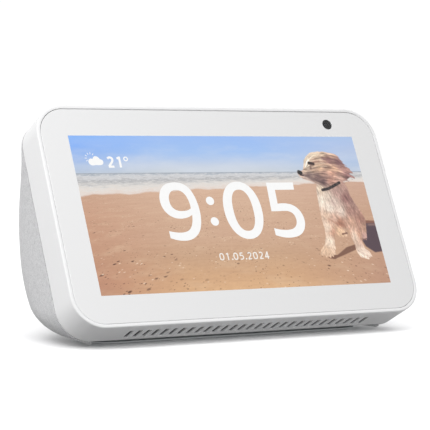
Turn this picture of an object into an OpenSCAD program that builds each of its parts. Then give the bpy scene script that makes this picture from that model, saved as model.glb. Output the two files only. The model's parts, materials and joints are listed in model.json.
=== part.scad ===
// Tabletop smart display: a tilted glass-fronted screen in a shallow white frame, a rounded
// fabric-covered back with a speaker, three sprung keys and a camera shutter on the top edge.
// Millimetres. +Z up, +X to the right of the screen, -Y towards the viewer. The origin is the
// centre of the footprint, on the table. Depth is measured into the body, square to the glass.

/* [Frame] */
// Overall width of the front frame
body_w = 148; // [140:1:156]
// Overall depth of the object from front lip to back
body_d = 73; // [70:0.5:76]
// Backward lean of the screen from upright, degrees
lean = 25.4; // [24:0.1:27]
// Depth of the front frame, from its lip to the fabric seam
frame_depth = 14; // [13.5:0.1:15]
// Corner radius of the front frame
frame_r = 12; // [10:0.5:13]
// Side wall of the front frame
frame_wall = 2; // [1.6:0.1:2.4]
// Width of the lip that shows around the glass
lip = 1.5; // [1:0.1:2]
// Height of the frame's lower back edge over the table
frame_clear = 2.24; // [2:0.01:2.5]

/* [Glass and screen] */
// Width of the cover glass
glass_w = 145; // [137:1:153]
// Height of the cover glass along its slope
glass_h = 83.1; // [80:0.1:86]
// Thickness of the cover glass
glass_t = 1.1; // [0.8:0.1:1.5]
// Width of the lit picture
screen_w = 124.1; // [118:0.1:125]
// Height of the lit picture
screen_h = 62; // [58:0.1:64]
// Glass below the lit picture
screen_foot = 10.4; // [9:0.1:12]

/* [Camera and shutter] */
// Camera position to the right of the centre line
camera_x = 51.9; // [50:0.1:53]
// Camera position above the lower edge of the glass
camera_v = 77.7; // [77:0.1:78]
// Travel of the shutter slider
shutter_travel = 5.5; // [5:0.1:5.6]

/* [Keys] */
// Diameter of each key
key_d = 7; // [5:0.5:8]
// Distance between neighbouring keys
key_pitch = 16; // [12:1:18]
// Position of the first key, the microphone mute
key_first_x = -26; // [-30:1:-20]
// Key travel
key_travel = 0.3; // [0.2:0.05:0.3]

/* [Slots] */
// Number of air slots under the frame
slot_count = 29; // [15:2:31]
// Distance between neighbouring slots
slot_pitch = 3.6; // [3:0.1:4]
// Width of each slot
slot_w = 1.6; // [0.8:0.1:1.8]
// Length of each slot
slot_l = 6.8; // [4:0.1:7.5]

/* [Fabric back] */
// Radius of the rounding under the back
heel_r = 29; // [25:1:31]
// Height where the rounding of the back and the belly under the frame run out
under_z = 0.9; // [0.8:0.1:1]
// Fabric thickness
fabric_t = 0.9; // [0.6:0.1:1.2]
// Wall of the rear housing
shell_t = 2; // [1.6:0.1:2.4]
// Open groove between the frame and the fabric
seam_gap = 0.4; // [0.2:0.1:0.6]
// Height of the fabric hem over the table
hem_z = 1; // [0.9:0.1:1.2]
// Thickness of the rubber foot
foot_t = 0.5; // [0.4:0.1:0.6]

/* [Speaker] */
// Outer diameter of the speaker driver
driver_d = 40; // [36:1:41]
// Upward tilt of the speaker, degrees
driver_tilt = 8; // [6:1:10]
// Travel of the cone each way
cone_travel = 1.2; // [0.5:0.1:1.2]

/* [Ports] */
// Width of the recess for the plugs
recess_w = 48; // [44:1:50]
// Bore radius of the audio socket
audio_r = 1.8; // [1.75:0.01:1.85]
// Depth of the audio socket
audio_l = 11; // [10:0.5:12]

/* [Hidden] */
$fn = 64;

c = cos(lean);
s = sin(lean);
// Lower edge of the glass, the zero of the sloping face coordinates [x, depth, v]
face_y = -body_d / 2 + lip * s;
face_z = frame_clear + lip * c + frame_depth * s;
v_low = -lip;
v_high = glass_h + lip;

glass_gap = 0.15;
glass_r = frame_r - lip;
glass_front = 0.15;
glass_back = glass_front + glass_t;
gasket_w = 2;
ledge_front = glass_back + 0.5;
ledge_back = ledge_front + 1.4;
cavity_r = frame_r - frame_wall;
cavity_top = v_high - frame_wall;

panel_w = screen_w + 4.4;
panel_low = screen_foot - 2.4;
panel_high = screen_foot + screen_h + 1.6;
touch_back = glass_back + 0.3;
panel_back = touch_back + 2;
guide_back = panel_back + 1.4;
tray_back = guide_back + 0.6;
tray_gap = 0.2;
tray_wall = 0.6;
plate_front = tray_back + 0.3;
plate_back = plate_front + 1.2;
board_front = plate_back + 2.9;
board_back = board_front + 1.2;
board_w = 100;
board_low = 18;
board_high = 66;
can_back = board_back + 2.3;
spreader_back = can_back + 0.9;

screw_x = 68.8;
short_boss_v = [12, 71];
long_boss_v = [26, 57];
boss_r = 3.3;
screw_r = 1;
pilot_r = 1.06;
head_r = 2.2;
head_h = 1.5;
board_post_x = 46;
board_post_v = [22, 62];

key_depth = frame_depth / 2 + 0.85;
key_count = 3;
key_proud = 0.25;
key_flange_r = key_d / 2 + 0.9;
key_flange_v = cavity_top - 0.1;
key_board_v = 77.4;
key_board_t = 0.8;
switch_top = key_board_v + key_board_t + 1.3;
key_stem_v = switch_top + key_travel + 0.05;
mic_x = [-40, 25];
key_screw_x = [mic_x[0] - 4.5, mic_x[1] + 5.5];

slider_x = 44;
slider_l = 8;
slider_w = 3;
slider_depth = 8.5;
slot_front = 4.9;
carrier_gap = 0.2;
blade_left = 39.5;

seam = frame_depth;
housing_in = fabric_t + 0.3;
housing_inner = housing_in + shell_t;

driver_y = 26.5;
driver_z = 40;
driver_r = driver_d / 2;
driver_screw_r = driver_r - 1.3;
coil_end = 11;
yoke_front = coil_end + cone_travel + 0.6;

recess_low = 6.5;
recess_high = 17;
recess_back = 22.5;
recess_cut = 16.7;
bezel = 1.5;
base_top = 3.5;
post_x = 22;
board_z = 6;
base_gap = 0.3;
base_screw_x = 49;
base_screw_y = -6;
base_arm = 67.5;
socket_z = board_z + 1.2;
jack_x = [-15, 0, 15];
jack_z = 11.2;

white = [0.93, 0.93, 0.94];
cool_grey = [0.78, 0.80, 0.81];
dark = [0.16, 0.17, 0.18];
steel = [0.72, 0.73, 0.75];
pcb_green = [0.10, 0.32, 0.20];

// ---------- helpers ----------

// Children in face coordinates: x across, y into the body, z up the slope
module on_face() translate([0, face_y, face_z]) rotate([-lean, 0, 0]) children();

// A flat outline in [x, v], made solid between two depths
module slab(front, back)
    on_face() translate([0, back, 0]) rotate([90, 0, 0]) linear_extrude(back - front) children();

// Rounded rectangle from its side lines
module rounded(x0, x1, y0, y1, r) {
    translate([x0 + r, y0]) square([x1 - x0 - 2 * r, y1 - y0]);
    translate([x0, y0 + r]) square([x1 - x0, y1 - y0 - 2 * r]);
    for (x = [x0 + r, x1 - r], y = [y0 + r, y1 - r]) translate([x, y]) circle(r);
}

// A block in face coordinates between two corners
module face_box(low, high) on_face() translate(low) cube(high - low);

// A block in object coordinates between two corners
module box(low, high) translate(low) cube(high - low);

// A round bar along the depth, in face coordinates
module depth_rod(x, v, front, back, r)
    on_face() translate([x, back, v]) rotate([90, 0, 0]) cylinder(r = r, h = back - front);

// A round bar up the slope, in face coordinates
module slope_rod(x, depth, low, high, r)
    on_face() translate([x, depth, low]) cylinder(r = r, h = high - low);

// Flat ribbon of constant thickness along a line of [depth, v] points
function ribbon_side(p, t) = [for (i = [0 : len(p) - 1])
    let (a = p[max(i - 1, 0)], b = p[min(i + 1, len(p) - 1)], d = (b - a) / norm(b - a))
    p[i] + t / 2 * [-d[1], d[0]]];
function reversed(l) = [for (i = [len(l) - 1 : -1 : 0]) l[i]];
function ribbon(p, t) = concat(ribbon_side(p, t), reversed(ribbon_side(p, -t)));

// ---------- the rounded back ----------
// The back is a stack of level sections. Each starts on the seam plane, as wide as the frame is
// there, and closes behind as a superellipse, so it meets the frame all the way round.

function seam_v(z, depth) = (z - face_z + depth * s) / c;
function seam_y(z, depth) = face_y + seam_v(z, depth) * s + depth * c;
function seam_z(v, depth) = face_z + v * c - depth * s;

corner_steps = 7;
side_steps = 9;
round_steps = 32;

// Heights on the seam ring: lower corner arc, straight side, upper corner arc
function ring_v(t) = let (r = frame_r - t, low = v_low + t, high = v_high - t) concat(
    [for (i = [0 : corner_steps]) low + r * (1 - cos(90 * i / corner_steps))],
    [for (i = [1 : side_steps]) low + r + (high - low - 2 * r) * i / (side_steps + 1)],
    [for (i = [0 : corner_steps]) high - r * (1 - sin(90 * i / corner_steps))]);
// Half width of the seam ring at each of those heights
function ring_x(t, v) = let (r = frame_r - t, low = v_low + t, high = v_high - t,
    k = max(low + r - v, v - high + r, 0)) body_w / 2 - t - r + sqrt(max(r * r - k * k, 0));

back_power = 2.8;
heel_y = body_d / 2 - heel_r;
heel_z = under_z + 0.18 + heel_r;
under_steps = 4;
under_reach = 2.5;
under_in = 0.5;
// How far back the middle of the back reaches at a height, inset by t
function back_y(z, t, top_y, top_z) = z < heel_z
    ? heel_y + sqrt(max(pow(heel_r - t, 2) - pow(heel_z - z, 2), 0))
    : body_d / 2 - t - (body_d / 2 - t - top_y) * pow((z - heel_z) / (top_z - heel_z), back_power);
// The superellipse's power: fuller at mid height, softer towards the top and the table
function fullness(z) = max(1.9, 3.7 - pow((z - heel_z + 2) / 32, 2));

// One level section: height, front line, half width
function section(z, y0, w, t, top_y, top_z) =
    let (reach = max(back_y(z, t, top_y, top_z) - y0, 0.02), p = 2 / fullness(z))
    [for (i = [0 : round_steps]) let (a = 180 * i / round_steps)
        [w * sign(cos(a)) * pow(abs(cos(a)), p), y0 + reach * pow(abs(sin(a)), p), z]];

// Sections of the belly that rounds off below the seam ring
function belly(t, depth, top_y, top_z) = let (z1 = seam_z(v_low + t, depth))
    [for (i = [0 : under_steps - 1]) let (a = 90 * i / under_steps, back = 1 - sin(a))
        section(z1 - (z1 - under_z - t * c) * cos(a), seam_y(z1, depth) + under_reach * back,
                body_w / 2 - frame_r - under_in * back, t, top_y, top_z)];

// Solid back, inset by t all over, starting at a depth behind the glass
module back_solid(t, depth) {
    vs = ring_v(t);
    top_z = seam_z(v_high - t, depth);
    top_y = seam_y(top_z, depth);
    rows = len(vs) + under_steps;
    n = round_steps + 1;
    ring = [for (v = vs) let (z = seam_z(v, depth))
        section(z, seam_y(z, depth), ring_x(t, v), t, top_y, top_z - 0.001)];
    points = [for (row = concat(belly(t, depth, top_y, top_z - 0.001), ring)) each row];
    skin = [for (j = [0 : rows - 2], i = [0 : n - 2]) let (a = j * n + i)
        each [[a, a + n, a + 1], [a + 1, a + n, a + n + 1]]];
    front = [for (j = [0 : rows - 2]) let (a = j * n, b = j * n + n - 1)
        each [[a, b, a + n], [b, b + n, a + n]]];
    base = [for (i = [1 : n - 2]) [0, i, i + 1]];
    cap = [for (i = [1 : n - 2]) let (a = (rows - 1) * n) [a, a + i + 1, a + i]];
    polyhedron(points = points, faces = concat(skin, front, base, cap));
}

// Outline of the base plate on the table plane, grown or shrunk
module base_outline(grow) rounded(-56 - grow, 56 + grow, -15.2 - grow, 3 + grow, 8 + grow);
module base_opening(grow) translate([0, 0, -1]) linear_extrude(base_top + 2) base_outline(grow);

module above_hem(z) translate([-body_w, -body_w, z]) cube(2 * body_w);

module recess_block(grow, front)
    box([-recess_w / 2 - grow, front, recess_low - grow],
        [recess_w / 2 + grow, body_d, recess_high + grow]);

module speaker_pose() translate([0, driver_y, driver_z]) rotate([driver_tilt, 0, 0]) children();

// A ring round the speaker's axis; positions run backwards from the flange's front face
module speaker_ring(y0, y1, r, hole)
    speaker_pose() translate([0, y1, 0]) rotate([90, 0, 0]) difference() {
        cylinder(r = r, h = y1 - y0);
        if (hole > 0) translate([0, 0, -1]) cylinder(r = hole, h = y1 - y0 + 2);
    }

// ---------- front ----------

module front_frame() color(white) difference() {
    union() {
        difference() {
            slab(0, frame_depth)
                rounded(-body_w / 2, body_w / 2, v_low, v_high, frame_r);
            slab(-1, ledge_front)
                rounded(-glass_w / 2 - glass_gap, glass_w / 2 + glass_gap, -glass_gap,
                        glass_h + glass_gap, glass_r + glass_gap);
            slab(0, ledge_back + 1)
                rounded(-glass_w / 2 + gasket_w, glass_w / 2 - gasket_w, gasket_w,
                        glass_h - gasket_w, glass_r - gasket_w);
            slab(ledge_back, frame_depth + 1)
                rounded(-body_w / 2 + frame_wall, body_w / 2 - frame_wall, v_low + frame_wall,
                        cavity_top, cavity_r);
        }
        for (x = [-screw_x, screw_x]) {
            for (v = short_boss_v) depth_rod(x, v, ledge_back - 0.4, plate_front, boss_r);
            for (v = long_boss_v) depth_rod(x, v, ledge_back - 0.4, frame_depth, boss_r);
        }
        for (x = key_screw_x)
            face_box([x - 1.5, 4.5, key_board_v + key_board_t], [x + 1.5, 13, cavity_top + 0.5]);
    }
    for (x = [-screw_x, screw_x]) {
        for (v = short_boss_v) depth_rod(x, v, ledge_back + 0.1, plate_front + 1, pilot_r);
        for (v = long_boss_v) depth_rod(x, v, ledge_back + 2, frame_depth + 1, pilot_r);
    }
    for (x = key_screw_x)
        slope_rod(x, key_depth, key_board_v, key_board_v + 4, 0.8);
    for (i = [0 : slot_count - 1])
        face_box([(i - (slot_count - 1) / 2) * slot_pitch - slot_w / 2, slot_front, v_low - 1],
                 [(i - (slot_count - 1) / 2) * slot_pitch + slot_w / 2, slot_front + slot_l,
                  v_low + frame_wall + 1]);
    for (i = [0 : key_count - 1])
        slope_rod(key_first_x + i * key_pitch, key_depth, cavity_top - 1, v_high + 1,
                  key_d / 2 + 0.15);
    for (x = mic_x) slope_rod(x, key_depth, cavity_top - 1, v_high + 1, 0.6);
    face_box([slider_x - slider_l / 2 - 0.2, slider_depth - slider_w / 2 - 0.2, cavity_top - 1],
             [slider_x + slider_l / 2 + shutter_travel + 0.2, slider_depth + slider_w / 2 + 0.2,
              v_high + 1]);
}

module front_glass() color([0.90, 0.91, 0.93])
    slab(glass_front, glass_back) rounded(-glass_w / 2, glass_w / 2, 0, glass_h, glass_r);

module glass_gasket() color(dark) slab(glass_back, ledge_front) difference() {
    rounded(-glass_w / 2 + 0.2, glass_w / 2 - 0.2, 0.2, glass_h - 0.2, glass_r - 0.2);
    rounded(-glass_w / 2 + gasket_w, glass_w / 2 - gasket_w, gasket_w, glass_h - gasket_w,
            glass_r - gasket_w);
}

module touch_sensor() color([0.55, 0.62, 0.70])
    face_box([-panel_w / 2, glass_back, panel_low], [panel_w / 2, touch_back, panel_high]);

module display_panel() color([0.35, 0.50, 0.72])
    face_box([-panel_w / 2, touch_back, panel_low], [panel_w / 2, panel_back, panel_high]);

module light_guide() color([0.92, 0.95, 0.97])
    face_box([-panel_w / 2, panel_back, panel_low], [panel_w / 2, guide_back, panel_high]);

module backlight_tray() color(steel) {
    out = tray_gap + tray_wall;
    difference() {
        face_box([-panel_w / 2 - out, touch_back, panel_low - out],
                 [panel_w / 2 + out, tray_back, panel_high + out]);
        face_box([-panel_w / 2 - tray_gap, 0, panel_low - tray_gap],
                 [panel_w / 2 + tray_gap, guide_back, panel_high + tray_gap]);
    }
}

module mid_frame() color(steel) difference() {
    union() {
        slab(plate_front, plate_back) rounded(-65, 65, 3, 74, 3);
        for (x = [-1, 1], v = short_boss_v)
            slab(plate_front, plate_back)
                rounded(min(x * 62, x * 71.4), max(x * 62, x * 71.4), v - 3, v + 3, 1.5);
        for (x = [-board_post_x, board_post_x], v = board_post_v)
            depth_rod(x, v, plate_back - 0.2, board_front, 2.3);
    }
    slab(0, plate_back + 1) rounded(-12, 12, 5, 15, 2);
    for (x = [-38, 0, 38]) slab(0, plate_back + 1) rounded(x - 14, x + 14, 24, 58, 4);
    for (x = [-screw_x, screw_x], v = short_boss_v) depth_rod(x, v, 0, plate_back + 1, 1.2);
    for (x = [-board_post_x, board_post_x], v = board_post_v)
        depth_rod(x, v, plate_back - 0.4, board_front + 1, 0.86);
}

module main_board() color(pcb_green) difference() {
    slab(board_front, board_back)
        rounded(-board_w / 2, board_w / 2, board_low, board_high, 2);
    for (x = [-board_post_x, board_post_x], v = board_post_v)
        depth_rod(x, v, board_front - 1, board_back + 1, 1.1);
}

module board_chips() color(dark) {
    face_box([-24, board_back, 34], [-10, board_back + 1.1, 48]);
    face_box([-5, board_back, 33], [7, board_back + 1, 44]);
    face_box([12, board_back, 36], [21, board_back + 1.2, 45]);
    face_box([-20, board_back, 51], [-12, board_back + 1, 57]);
    face_box([2, board_back, 49], [11, board_back + 0.9, 56]);
    for (x = [-41 : 2.6 : -28]) face_box([x, board_back, 27], [x + 1.4, board_back + 1, 29]);
}

module shield_can() color(steel) difference() {
    face_box([-28, board_back, 30], [26, can_back, 60]);
    face_box([-27.7, board_back - 1, 30.3], [25.7, can_back - 0.3, 59.7]);
}

module heat_spreader() color(steel) {
    face_box([-34, can_back, 26], [32, spreader_back, 62]);
    for (x = [-30 : 11.6 : 28])
        face_box([x, spreader_back, 28], [x + 1.2, spreader_back + 0.9, 60]);
}

module wifi_antennas() color([0.80, 0.62, 0.30])
    for (x = [-62, 54]) face_box([x, plate_back, 34], [x + 8, plate_back + 0.6, 56]);

module display_flex() color([0.75, 0.48, 0.15])
    on_face() translate([-8, 0, 0]) rotate([90, 0, 90]) linear_extrude(16)
        polygon(ribbon([[tray_back + 0.15, 11.5], [tray_back + 0.15, 7.2], [plate_back - 0.6, 6],
                        [board_front - 1, 8], [board_front - 0.15, 14],
                        [board_front - 0.15, 24]], 0.2));

// ---------- camera, shutter and keys ----------

module camera_module() color(dark) difference() {
    union() {
        face_box([camera_x - 3.1, 3.3, camera_v - 2.7], [camera_x + 3.1, 5.6, camera_v + 2.7]);
        depth_rod(camera_x, camera_v, 2.1, 3.6, 2.7);
    }
    depth_rod(camera_x, camera_v, 2, 4.4, 1.9);
}

module camera_lens() color([0.20, 0.24, 0.30]) depth_rod(camera_x, camera_v, 2.3, 4.3, 1.8);

module camera_flex() color([0.75, 0.48, 0.15])
    on_face() translate([camera_x - 2, 0, 0]) rotate([90, 0, 90]) linear_extrude(4)
        polygon(ribbon([[5.75, 80], [5.75, 75.8], [plate_back + 0.6, 74.8],
                        [board_front - 1.2, 72], [board_back + 0.15, 68.5],
                        [board_back + 0.15, 60]], 0.2));

module light_sensor() color(dark) {
    face_box([-53.5, 1.9, 76.2], [-50.5, 3, 79.2]);
    face_box([-55, 3, 75.4], [-49, 3.6, 79.8]);
}

module shutter_slider() color(white) {
    half = slider_l / 2;
    // Thumb bar with three ridges, in the slot of the top wall
    face_box([slider_x - half, slider_depth - slider_w / 2, cavity_top - carrier_gap - 0.1],
             [slider_x + half, slider_depth + slider_w / 2, v_high + 0.25]);
    for (i = [-1 : 1])
        face_box([slider_x + 1.8 * i - 0.3, slider_depth - slider_w / 2 + 0.3, v_high],
                 [slider_x + 1.8 * i + 0.3, slider_depth + slider_w / 2 - 0.3, v_high + 0.5]);
    // Carrier that keeps the slot closed from inside
    face_box([33.8, 5.6, cavity_top - 1.4], [54.2, 11.4, cavity_top - carrier_gap]);
}

module shutter_blade() color([0.85, 0.85, 0.86]) {
    right = camera_x - 2.9;
    face_box([blade_left, glass_back + 0.2, 74.9], [right, glass_back + 0.5, 80.3]);
    face_box([blade_left, glass_back + 0.2, 79.3], [blade_left + 3, 7, 80.3]);
    face_box([blade_left, 5.8, 79.3], [blade_left + 3, 7, cavity_top - 1.4]);
}

module key(index) {
    x = key_first_x + index * key_pitch;
    slope_rod(x, key_depth, key_flange_v - 1.2, v_high + key_proud, key_d / 2);
    slope_rod(x, key_depth, key_flange_v - 1.2, key_flange_v, key_flange_r);
    slope_rod(x, key_depth, key_stem_v, key_flange_v - 1, 1.25);
}

module mute_key() color(white) key(0);
module volume_down_key() color(white) key(1);
module volume_up_key() color(white) key(2);

module key_board() color(pcb_green) difference() {
    face_box([mic_x[0] - 7, 4.5, key_board_v], [mic_x[1] + 8, 13, key_board_v + key_board_t]);
    for (x = key_screw_x)
        slope_rod(x, key_depth, key_board_v - 1, key_board_v + 2, 1.1);
}

module key_switches() color(steel) for (i = [0 : key_count - 1]) {
    x = key_first_x + i * key_pitch;
    face_box([x - 2.1, key_depth - 2.1, key_board_v + key_board_t],
             [x + 2.1, key_depth + 2.1, switch_top - 0.4]);
    slope_rod(x, key_depth, switch_top - 0.5, switch_top, 1);
}

module microphones() color(steel) for (x = mic_x)
    face_box([x - 1.8, key_depth - 1.4, key_board_v + key_board_t],
             [x + 1.8, key_depth + 1.4, key_board_v + key_board_t + 1]);

module microphone_gaskets() color(dark) for (x = mic_x) difference() {
    slope_rod(x, key_depth, key_board_v + key_board_t + 1, cavity_top, 2);
    slope_rod(x, key_depth, key_board_v, cavity_top + 1, 0.6);
}

// ---------- back ----------

module rear_housing() color(cool_grey) {
    difference() {
        intersection() {
            back_solid(housing_in, seam);
            above_hem(hem_z);
        }
        back_solid(housing_inner, seam - 0.01);
        // Mouth under the base plate, speaker window and port recess
        base_opening(base_gap);
        speaker_ring(-6, 30, driver_r - 1, 0);
        recess_block(bezel + 0.05, recess_cut);
    }
    // Lugs that take the housing screws
    for (x = [-1, 1], v = long_boss_v) difference() {
        face_box([min(x * 63, x * 71.2), seam, v - 4.8], [max(x * 63, x * 71.2), seam + 2, v + 4.8]);
        depth_rod(x * screw_x, v, seam - 1, seam + 3, 1.25);
    }
    // Bosses that take the base screws
    for (x = [-base_screw_x, base_screw_x]) difference() {
        union() {
            box([min(x, sign(x) * base_arm), base_screw_y - 2, 6.2],
                [max(x, sign(x) * base_arm), base_screw_y + 2, 9]);
            translate([x, base_screw_y, base_top]) cylinder(r = 3, h = 9 - base_top);
        }
        translate([x, base_screw_y, 0]) cylinder(r = pilot_r, h = 8);
    }
}

module fabric_cover() color([0.80, 0.81, 0.82]) difference() {
    intersection() {
        back_solid(0, seam + seam_gap);
        above_hem(hem_z);
    }
    back_solid(fabric_t, seam + seam_gap - 0.01);
    base_opening(1.5);
    recess_block(bezel + 0.05, recess_back - 4);
}

module speaker_grille() color(cool_grey) difference() {
    intersection() {
        back_solid(housing_in, seam);
        speaker_ring(-4, 30, driver_r - 1.2, 0);
    }
    back_solid(housing_inner - 0.4, seam - 0.01);
    for (i = [-4 : 4])
        speaker_pose() box([-sqrt(pow(driver_r - 3, 2) - pow(3.6 * i, 2)), -6, 3.6 * i - 1],
                           [sqrt(pow(driver_r - 3, 2) - pow(3.6 * i, 2)), 30, 3.6 * i + 1]);
}

module speaker_box() color(dark) difference() {
    speaker_pose() box([-36, -16, -20.4], [36, -1.5, 20]);
    speaker_pose() box([-34.5, -14.5, -18.9], [34.5, -3.5, 18.5]);
    speaker_ring(-6, 1, 17.7, 0);
    for (a = [45 : 90 : 315])
        speaker_pose() rotate([0, a, 0]) translate([driver_screw_r, 0.5, 0]) rotate([90, 0, 0])
            cylinder(r = 0.7, h = 3.6, $fn = 24);
}

module speaker_gasket() color(dark) speaker_ring(0.02, 0.8, driver_r, 17.6);

module speaker_basket() color(steel) difference() {
    union() {
        speaker_ring(-1.48, 0, driver_r, 17);
        speaker_pose() rotate([90, 0, 0]) rotate_extrude()
            polygon([[16.7, 0], [17.3, 0], [17.3, 3.2], [12.4, 8.8], [12.4, 9.4], [6.4, 9.4],
                     [6.4, 8.6], [11.6, 8.6], [16.1, 3.2], [16.1, 1.25], [16.7, 1.25]]);
    }
    for (a = [45 : 90 : 315])
        speaker_pose() rotate([0, a, 0]) translate([driver_screw_r, 1, 0]) rotate([90, 0, 0])
            cylinder(r = 1, h = 4, $fn = 24);
}

// Ring magnet and yoke with a centre pole; the gap between them takes the coil
module speaker_magnet() color([0.35, 0.35, 0.37]) {
    speaker_ring(-yoke_front, -9.42, 12.4, 6.4);
    speaker_ring(-14.3, -yoke_front, 12.4, 0);
    speaker_ring(-yoke_front - 0.2, -8.2, 4.9, 0);
}

module speaker_surround() color(dark) speaker_pose() rotate([90, 0, 0]) rotate_extrude()
    difference() {
        translate([15.1, 1.2]) circle(1.5, $fn = 32);
        translate([15.1, 1.2]) circle(1.1, $fn = 32);
        translate([12, 1.2]) square([6, 3]);
    }

module speaker_cone() color([0.12, 0.12, 0.13]) speaker_pose() rotate([90, 0, 0])
    rotate_extrude() polygon([[5.6, 6.4], [6.1, 6.4], [13.3, 1.6], [13.3, 1.2], [5.6, 5.9]]);

module voice_coil() color([0.70, 0.40, 0.20]) speaker_ring(-coil_end, -6.4, 6.05, 5.55);

module dust_cap() color(dark) speaker_pose() translate([0, -5.9, 0]) rotate([90, 0, 0])
    rotate_extrude() intersection() {
        difference() {
            translate([0, 4.5]) circle(7.15, $fn = 48);
            translate([0, 4.5]) circle(6.75, $fn = 48);
        }
        translate([0, -3]) square([5.55, 3]);
    }

module speaker_wires() color([0.60, 0.10, 0.10]) for (x = [28.6, 30.6])
    translate([x, 0, 0]) rotate([90, 0, 90]) linear_extrude(1.1)
        polygon(ribbon([[11.2, 32], [8, 31], [2, 30], [-6, 27.5], [-10.6, 24]], 1.1));

// ---------- ports and base ----------

module port_plate() color(cool_grey) difference() {
    intersection() {
        back_solid(0, seam + seam_gap);
        recess_block(bezel, recess_back - 2);
    }
    recess_block(0, recess_back);
    translate([jack_x[0], recess_back + 1, jack_z]) rotate([90, 0, 0]) cylinder(r = 3, h = 5);
    box([jack_x[1] - 4, recess_back - 5, jack_z - 2], [jack_x[1] + 4, recess_back + 1, jack_z + 2]);
    translate([jack_x[2], recess_back + 1, jack_z]) rotate([90, 0, 0]) cylinder(r = 4.6, h = 5);
}

module port_board() color(pcb_green) difference() {
    box([-25, -3, board_z], [25, 16, socket_z]);
    for (x = [-post_x, post_x]) translate([x, 0, board_z - 1]) cylinder(r = 1.1, h = 4);
}

module audio_socket() color(dark) difference() {
    union() {
        box([jack_x[0] - 3.2, 8.5, socket_z], [jack_x[0] + 3.2, recess_back - 2.2, jack_z + 3.2]);
        translate([jack_x[0], recess_back, jack_z]) rotate([90, 0, 0])
            cylinder(r = 2.8, h = 4);
    }
    translate([jack_x[0], recess_back + 1, jack_z]) rotate([90, 0, 0])
        cylinder(r = audio_r, h = audio_l + 1);
}

module usb_socket() color(steel) difference() {
    box([jack_x[1] - 3.75, 15, jack_z - 1.45], [jack_x[1] + 3.75, recess_back, jack_z + 1.45]);
    box([jack_x[1] - 3.45, 16, jack_z - 0.9], [jack_x[1] + 3.45, recess_back + 1, jack_z + 1]);
}

module power_socket() color(dark) {
    difference() {
        union() {
            box([jack_x[2] - 4.8, 8, socket_z],
                [jack_x[2] + 4.8, recess_back - 2.2, jack_z + 4.8]);
            translate([jack_x[2], recess_back, jack_z]) rotate([90, 0, 0])
                cylinder(r = 4.4, h = 4);
        }
        translate([jack_x[2], recess_back + 1, jack_z]) rotate([90, 0, 0])
            cylinder(r = 2.8, h = 10.5);
    }
    translate([jack_x[2], recess_back - 1.2, jack_z]) rotate([90, 0, 0])
        cylinder(r = 0.85, h = 9);
}

module port_flex() color([0.75, 0.48, 0.15])
    translate([-10, 0, 0]) rotate([90, 0, 90]) linear_extrude(8)
        polygon(ribbon([[8, board_z - 0.15], [-4, board_z - 0.15], [-8, 8.6], [-13, 15],
                        [-14.3, 21], [-12.2, 27]], 0.2));

module base_plate() color(cool_grey) difference() {
    union() {
        translate([0, 0, hem_z]) linear_extrude(base_top - hem_z) base_outline(0);
        translate([0, 0, foot_t]) linear_extrude(hem_z - foot_t) base_outline(3);
        for (x = [-post_x, post_x]) translate([x, 0, hem_z]) cylinder(r = 2.4, h = board_z - hem_z);
    }
    for (x = [-post_x, post_x]) translate([x, 0, hem_z + 0.7]) cylinder(r = 0.86, h = board_z);
    for (x = [-base_screw_x, base_screw_x]) translate([x, base_screw_y, -1]) {
        cylinder(r = 1.2, h = 6);
        cylinder(r = 2.4, h = 1 + foot_t + head_h);
    }
}

module rubber_foot() color([0.62, 0.63, 0.65]) difference() {
    linear_extrude(foot_t) base_outline(1);
    translate([0, 0, -1]) linear_extrude(1.2) base_outline(-5);
    for (x = [-base_screw_x, base_screw_x]) translate([x, base_screw_y, -1]) cylinder(r = 2.6, h = 4);
}

// ---------- fasteners ----------

// Screw with its head towards the back, in face coordinates
module face_screw(x, v, tip, seat, r = screw_r, head = head_r) {
    depth_rod(x, v, tip, seat, r);
    depth_rod(x, v, seat, seat + head_h, head);
}

module frame_screws() color(steel) for (x = [-screw_x, screw_x], v = short_boss_v)
    face_screw(x, v, ledge_back + 0.3, plate_back);

module housing_screws() color(steel) for (x = [-screw_x, screw_x], v = long_boss_v)
    face_screw(x, v, 7, seam + 2, screw_r, 1.8);

module board_screws() color(steel) {
    for (x = [-board_post_x, board_post_x], v = board_post_v)
        face_screw(x, v, plate_back - 0.2, board_back, 0.8, 1.8);
    for (x = key_screw_x) {
        slope_rod(x, key_depth, key_board_v - 1, key_board_v, 1.5);
        slope_rod(x, key_depth, key_board_v - 0.5, key_board_v + 3.8, 0.75);
    }
    for (x = [-post_x, post_x]) {
        translate([x, 0, hem_z + 0.9]) cylinder(r = 0.8, h = socket_z - hem_z);
        translate([x, 0, socket_z]) cylinder(r = 1.8, h = 1.2);
    }
}

module base_screws() color(steel)
    for (x = [-base_screw_x, base_screw_x]) translate([x, base_screw_y, foot_t]) {
        cylinder(r = screw_r, h = 6.8);
        cylinder(r = 2, h = head_h);
    }

module speaker_screws() color(steel) for (a = [45 : 90 : 315])
    speaker_pose() rotate([0, a, 0]) translate([driver_screw_r, -2.9, 0]) rotate([-90, 0, 0])
        cylinder(r = 0.68, h = 2.9, $fn = 24);

front_frame();
front_glass();
glass_gasket();
touch_sensor();
display_panel();
light_guide();
backlight_tray();
mid_frame();
main_board();
board_chips();
shield_can();
heat_spreader();
wifi_antennas();
display_flex();
camera_module();
camera_lens();
camera_flex();
light_sensor();
shutter_slider();
shutter_blade();
mute_key();
volume_down_key();
volume_up_key();
key_board();
key_switches();
microphones();
microphone_gaskets();
rear_housing();
fabric_cover();
speaker_grille();
speaker_box();
speaker_gasket();
speaker_basket();
speaker_magnet();
speaker_surround();
speaker_cone();
voice_coil();
dust_cap();
speaker_wires();
port_plate();
port_board();
power_socket();
usb_socket();
audio_socket();
port_flex();
base_plate();
rubber_foot();
frame_screws();
housing_screws();
board_screws();
base_screws();
speaker_screws();
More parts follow.
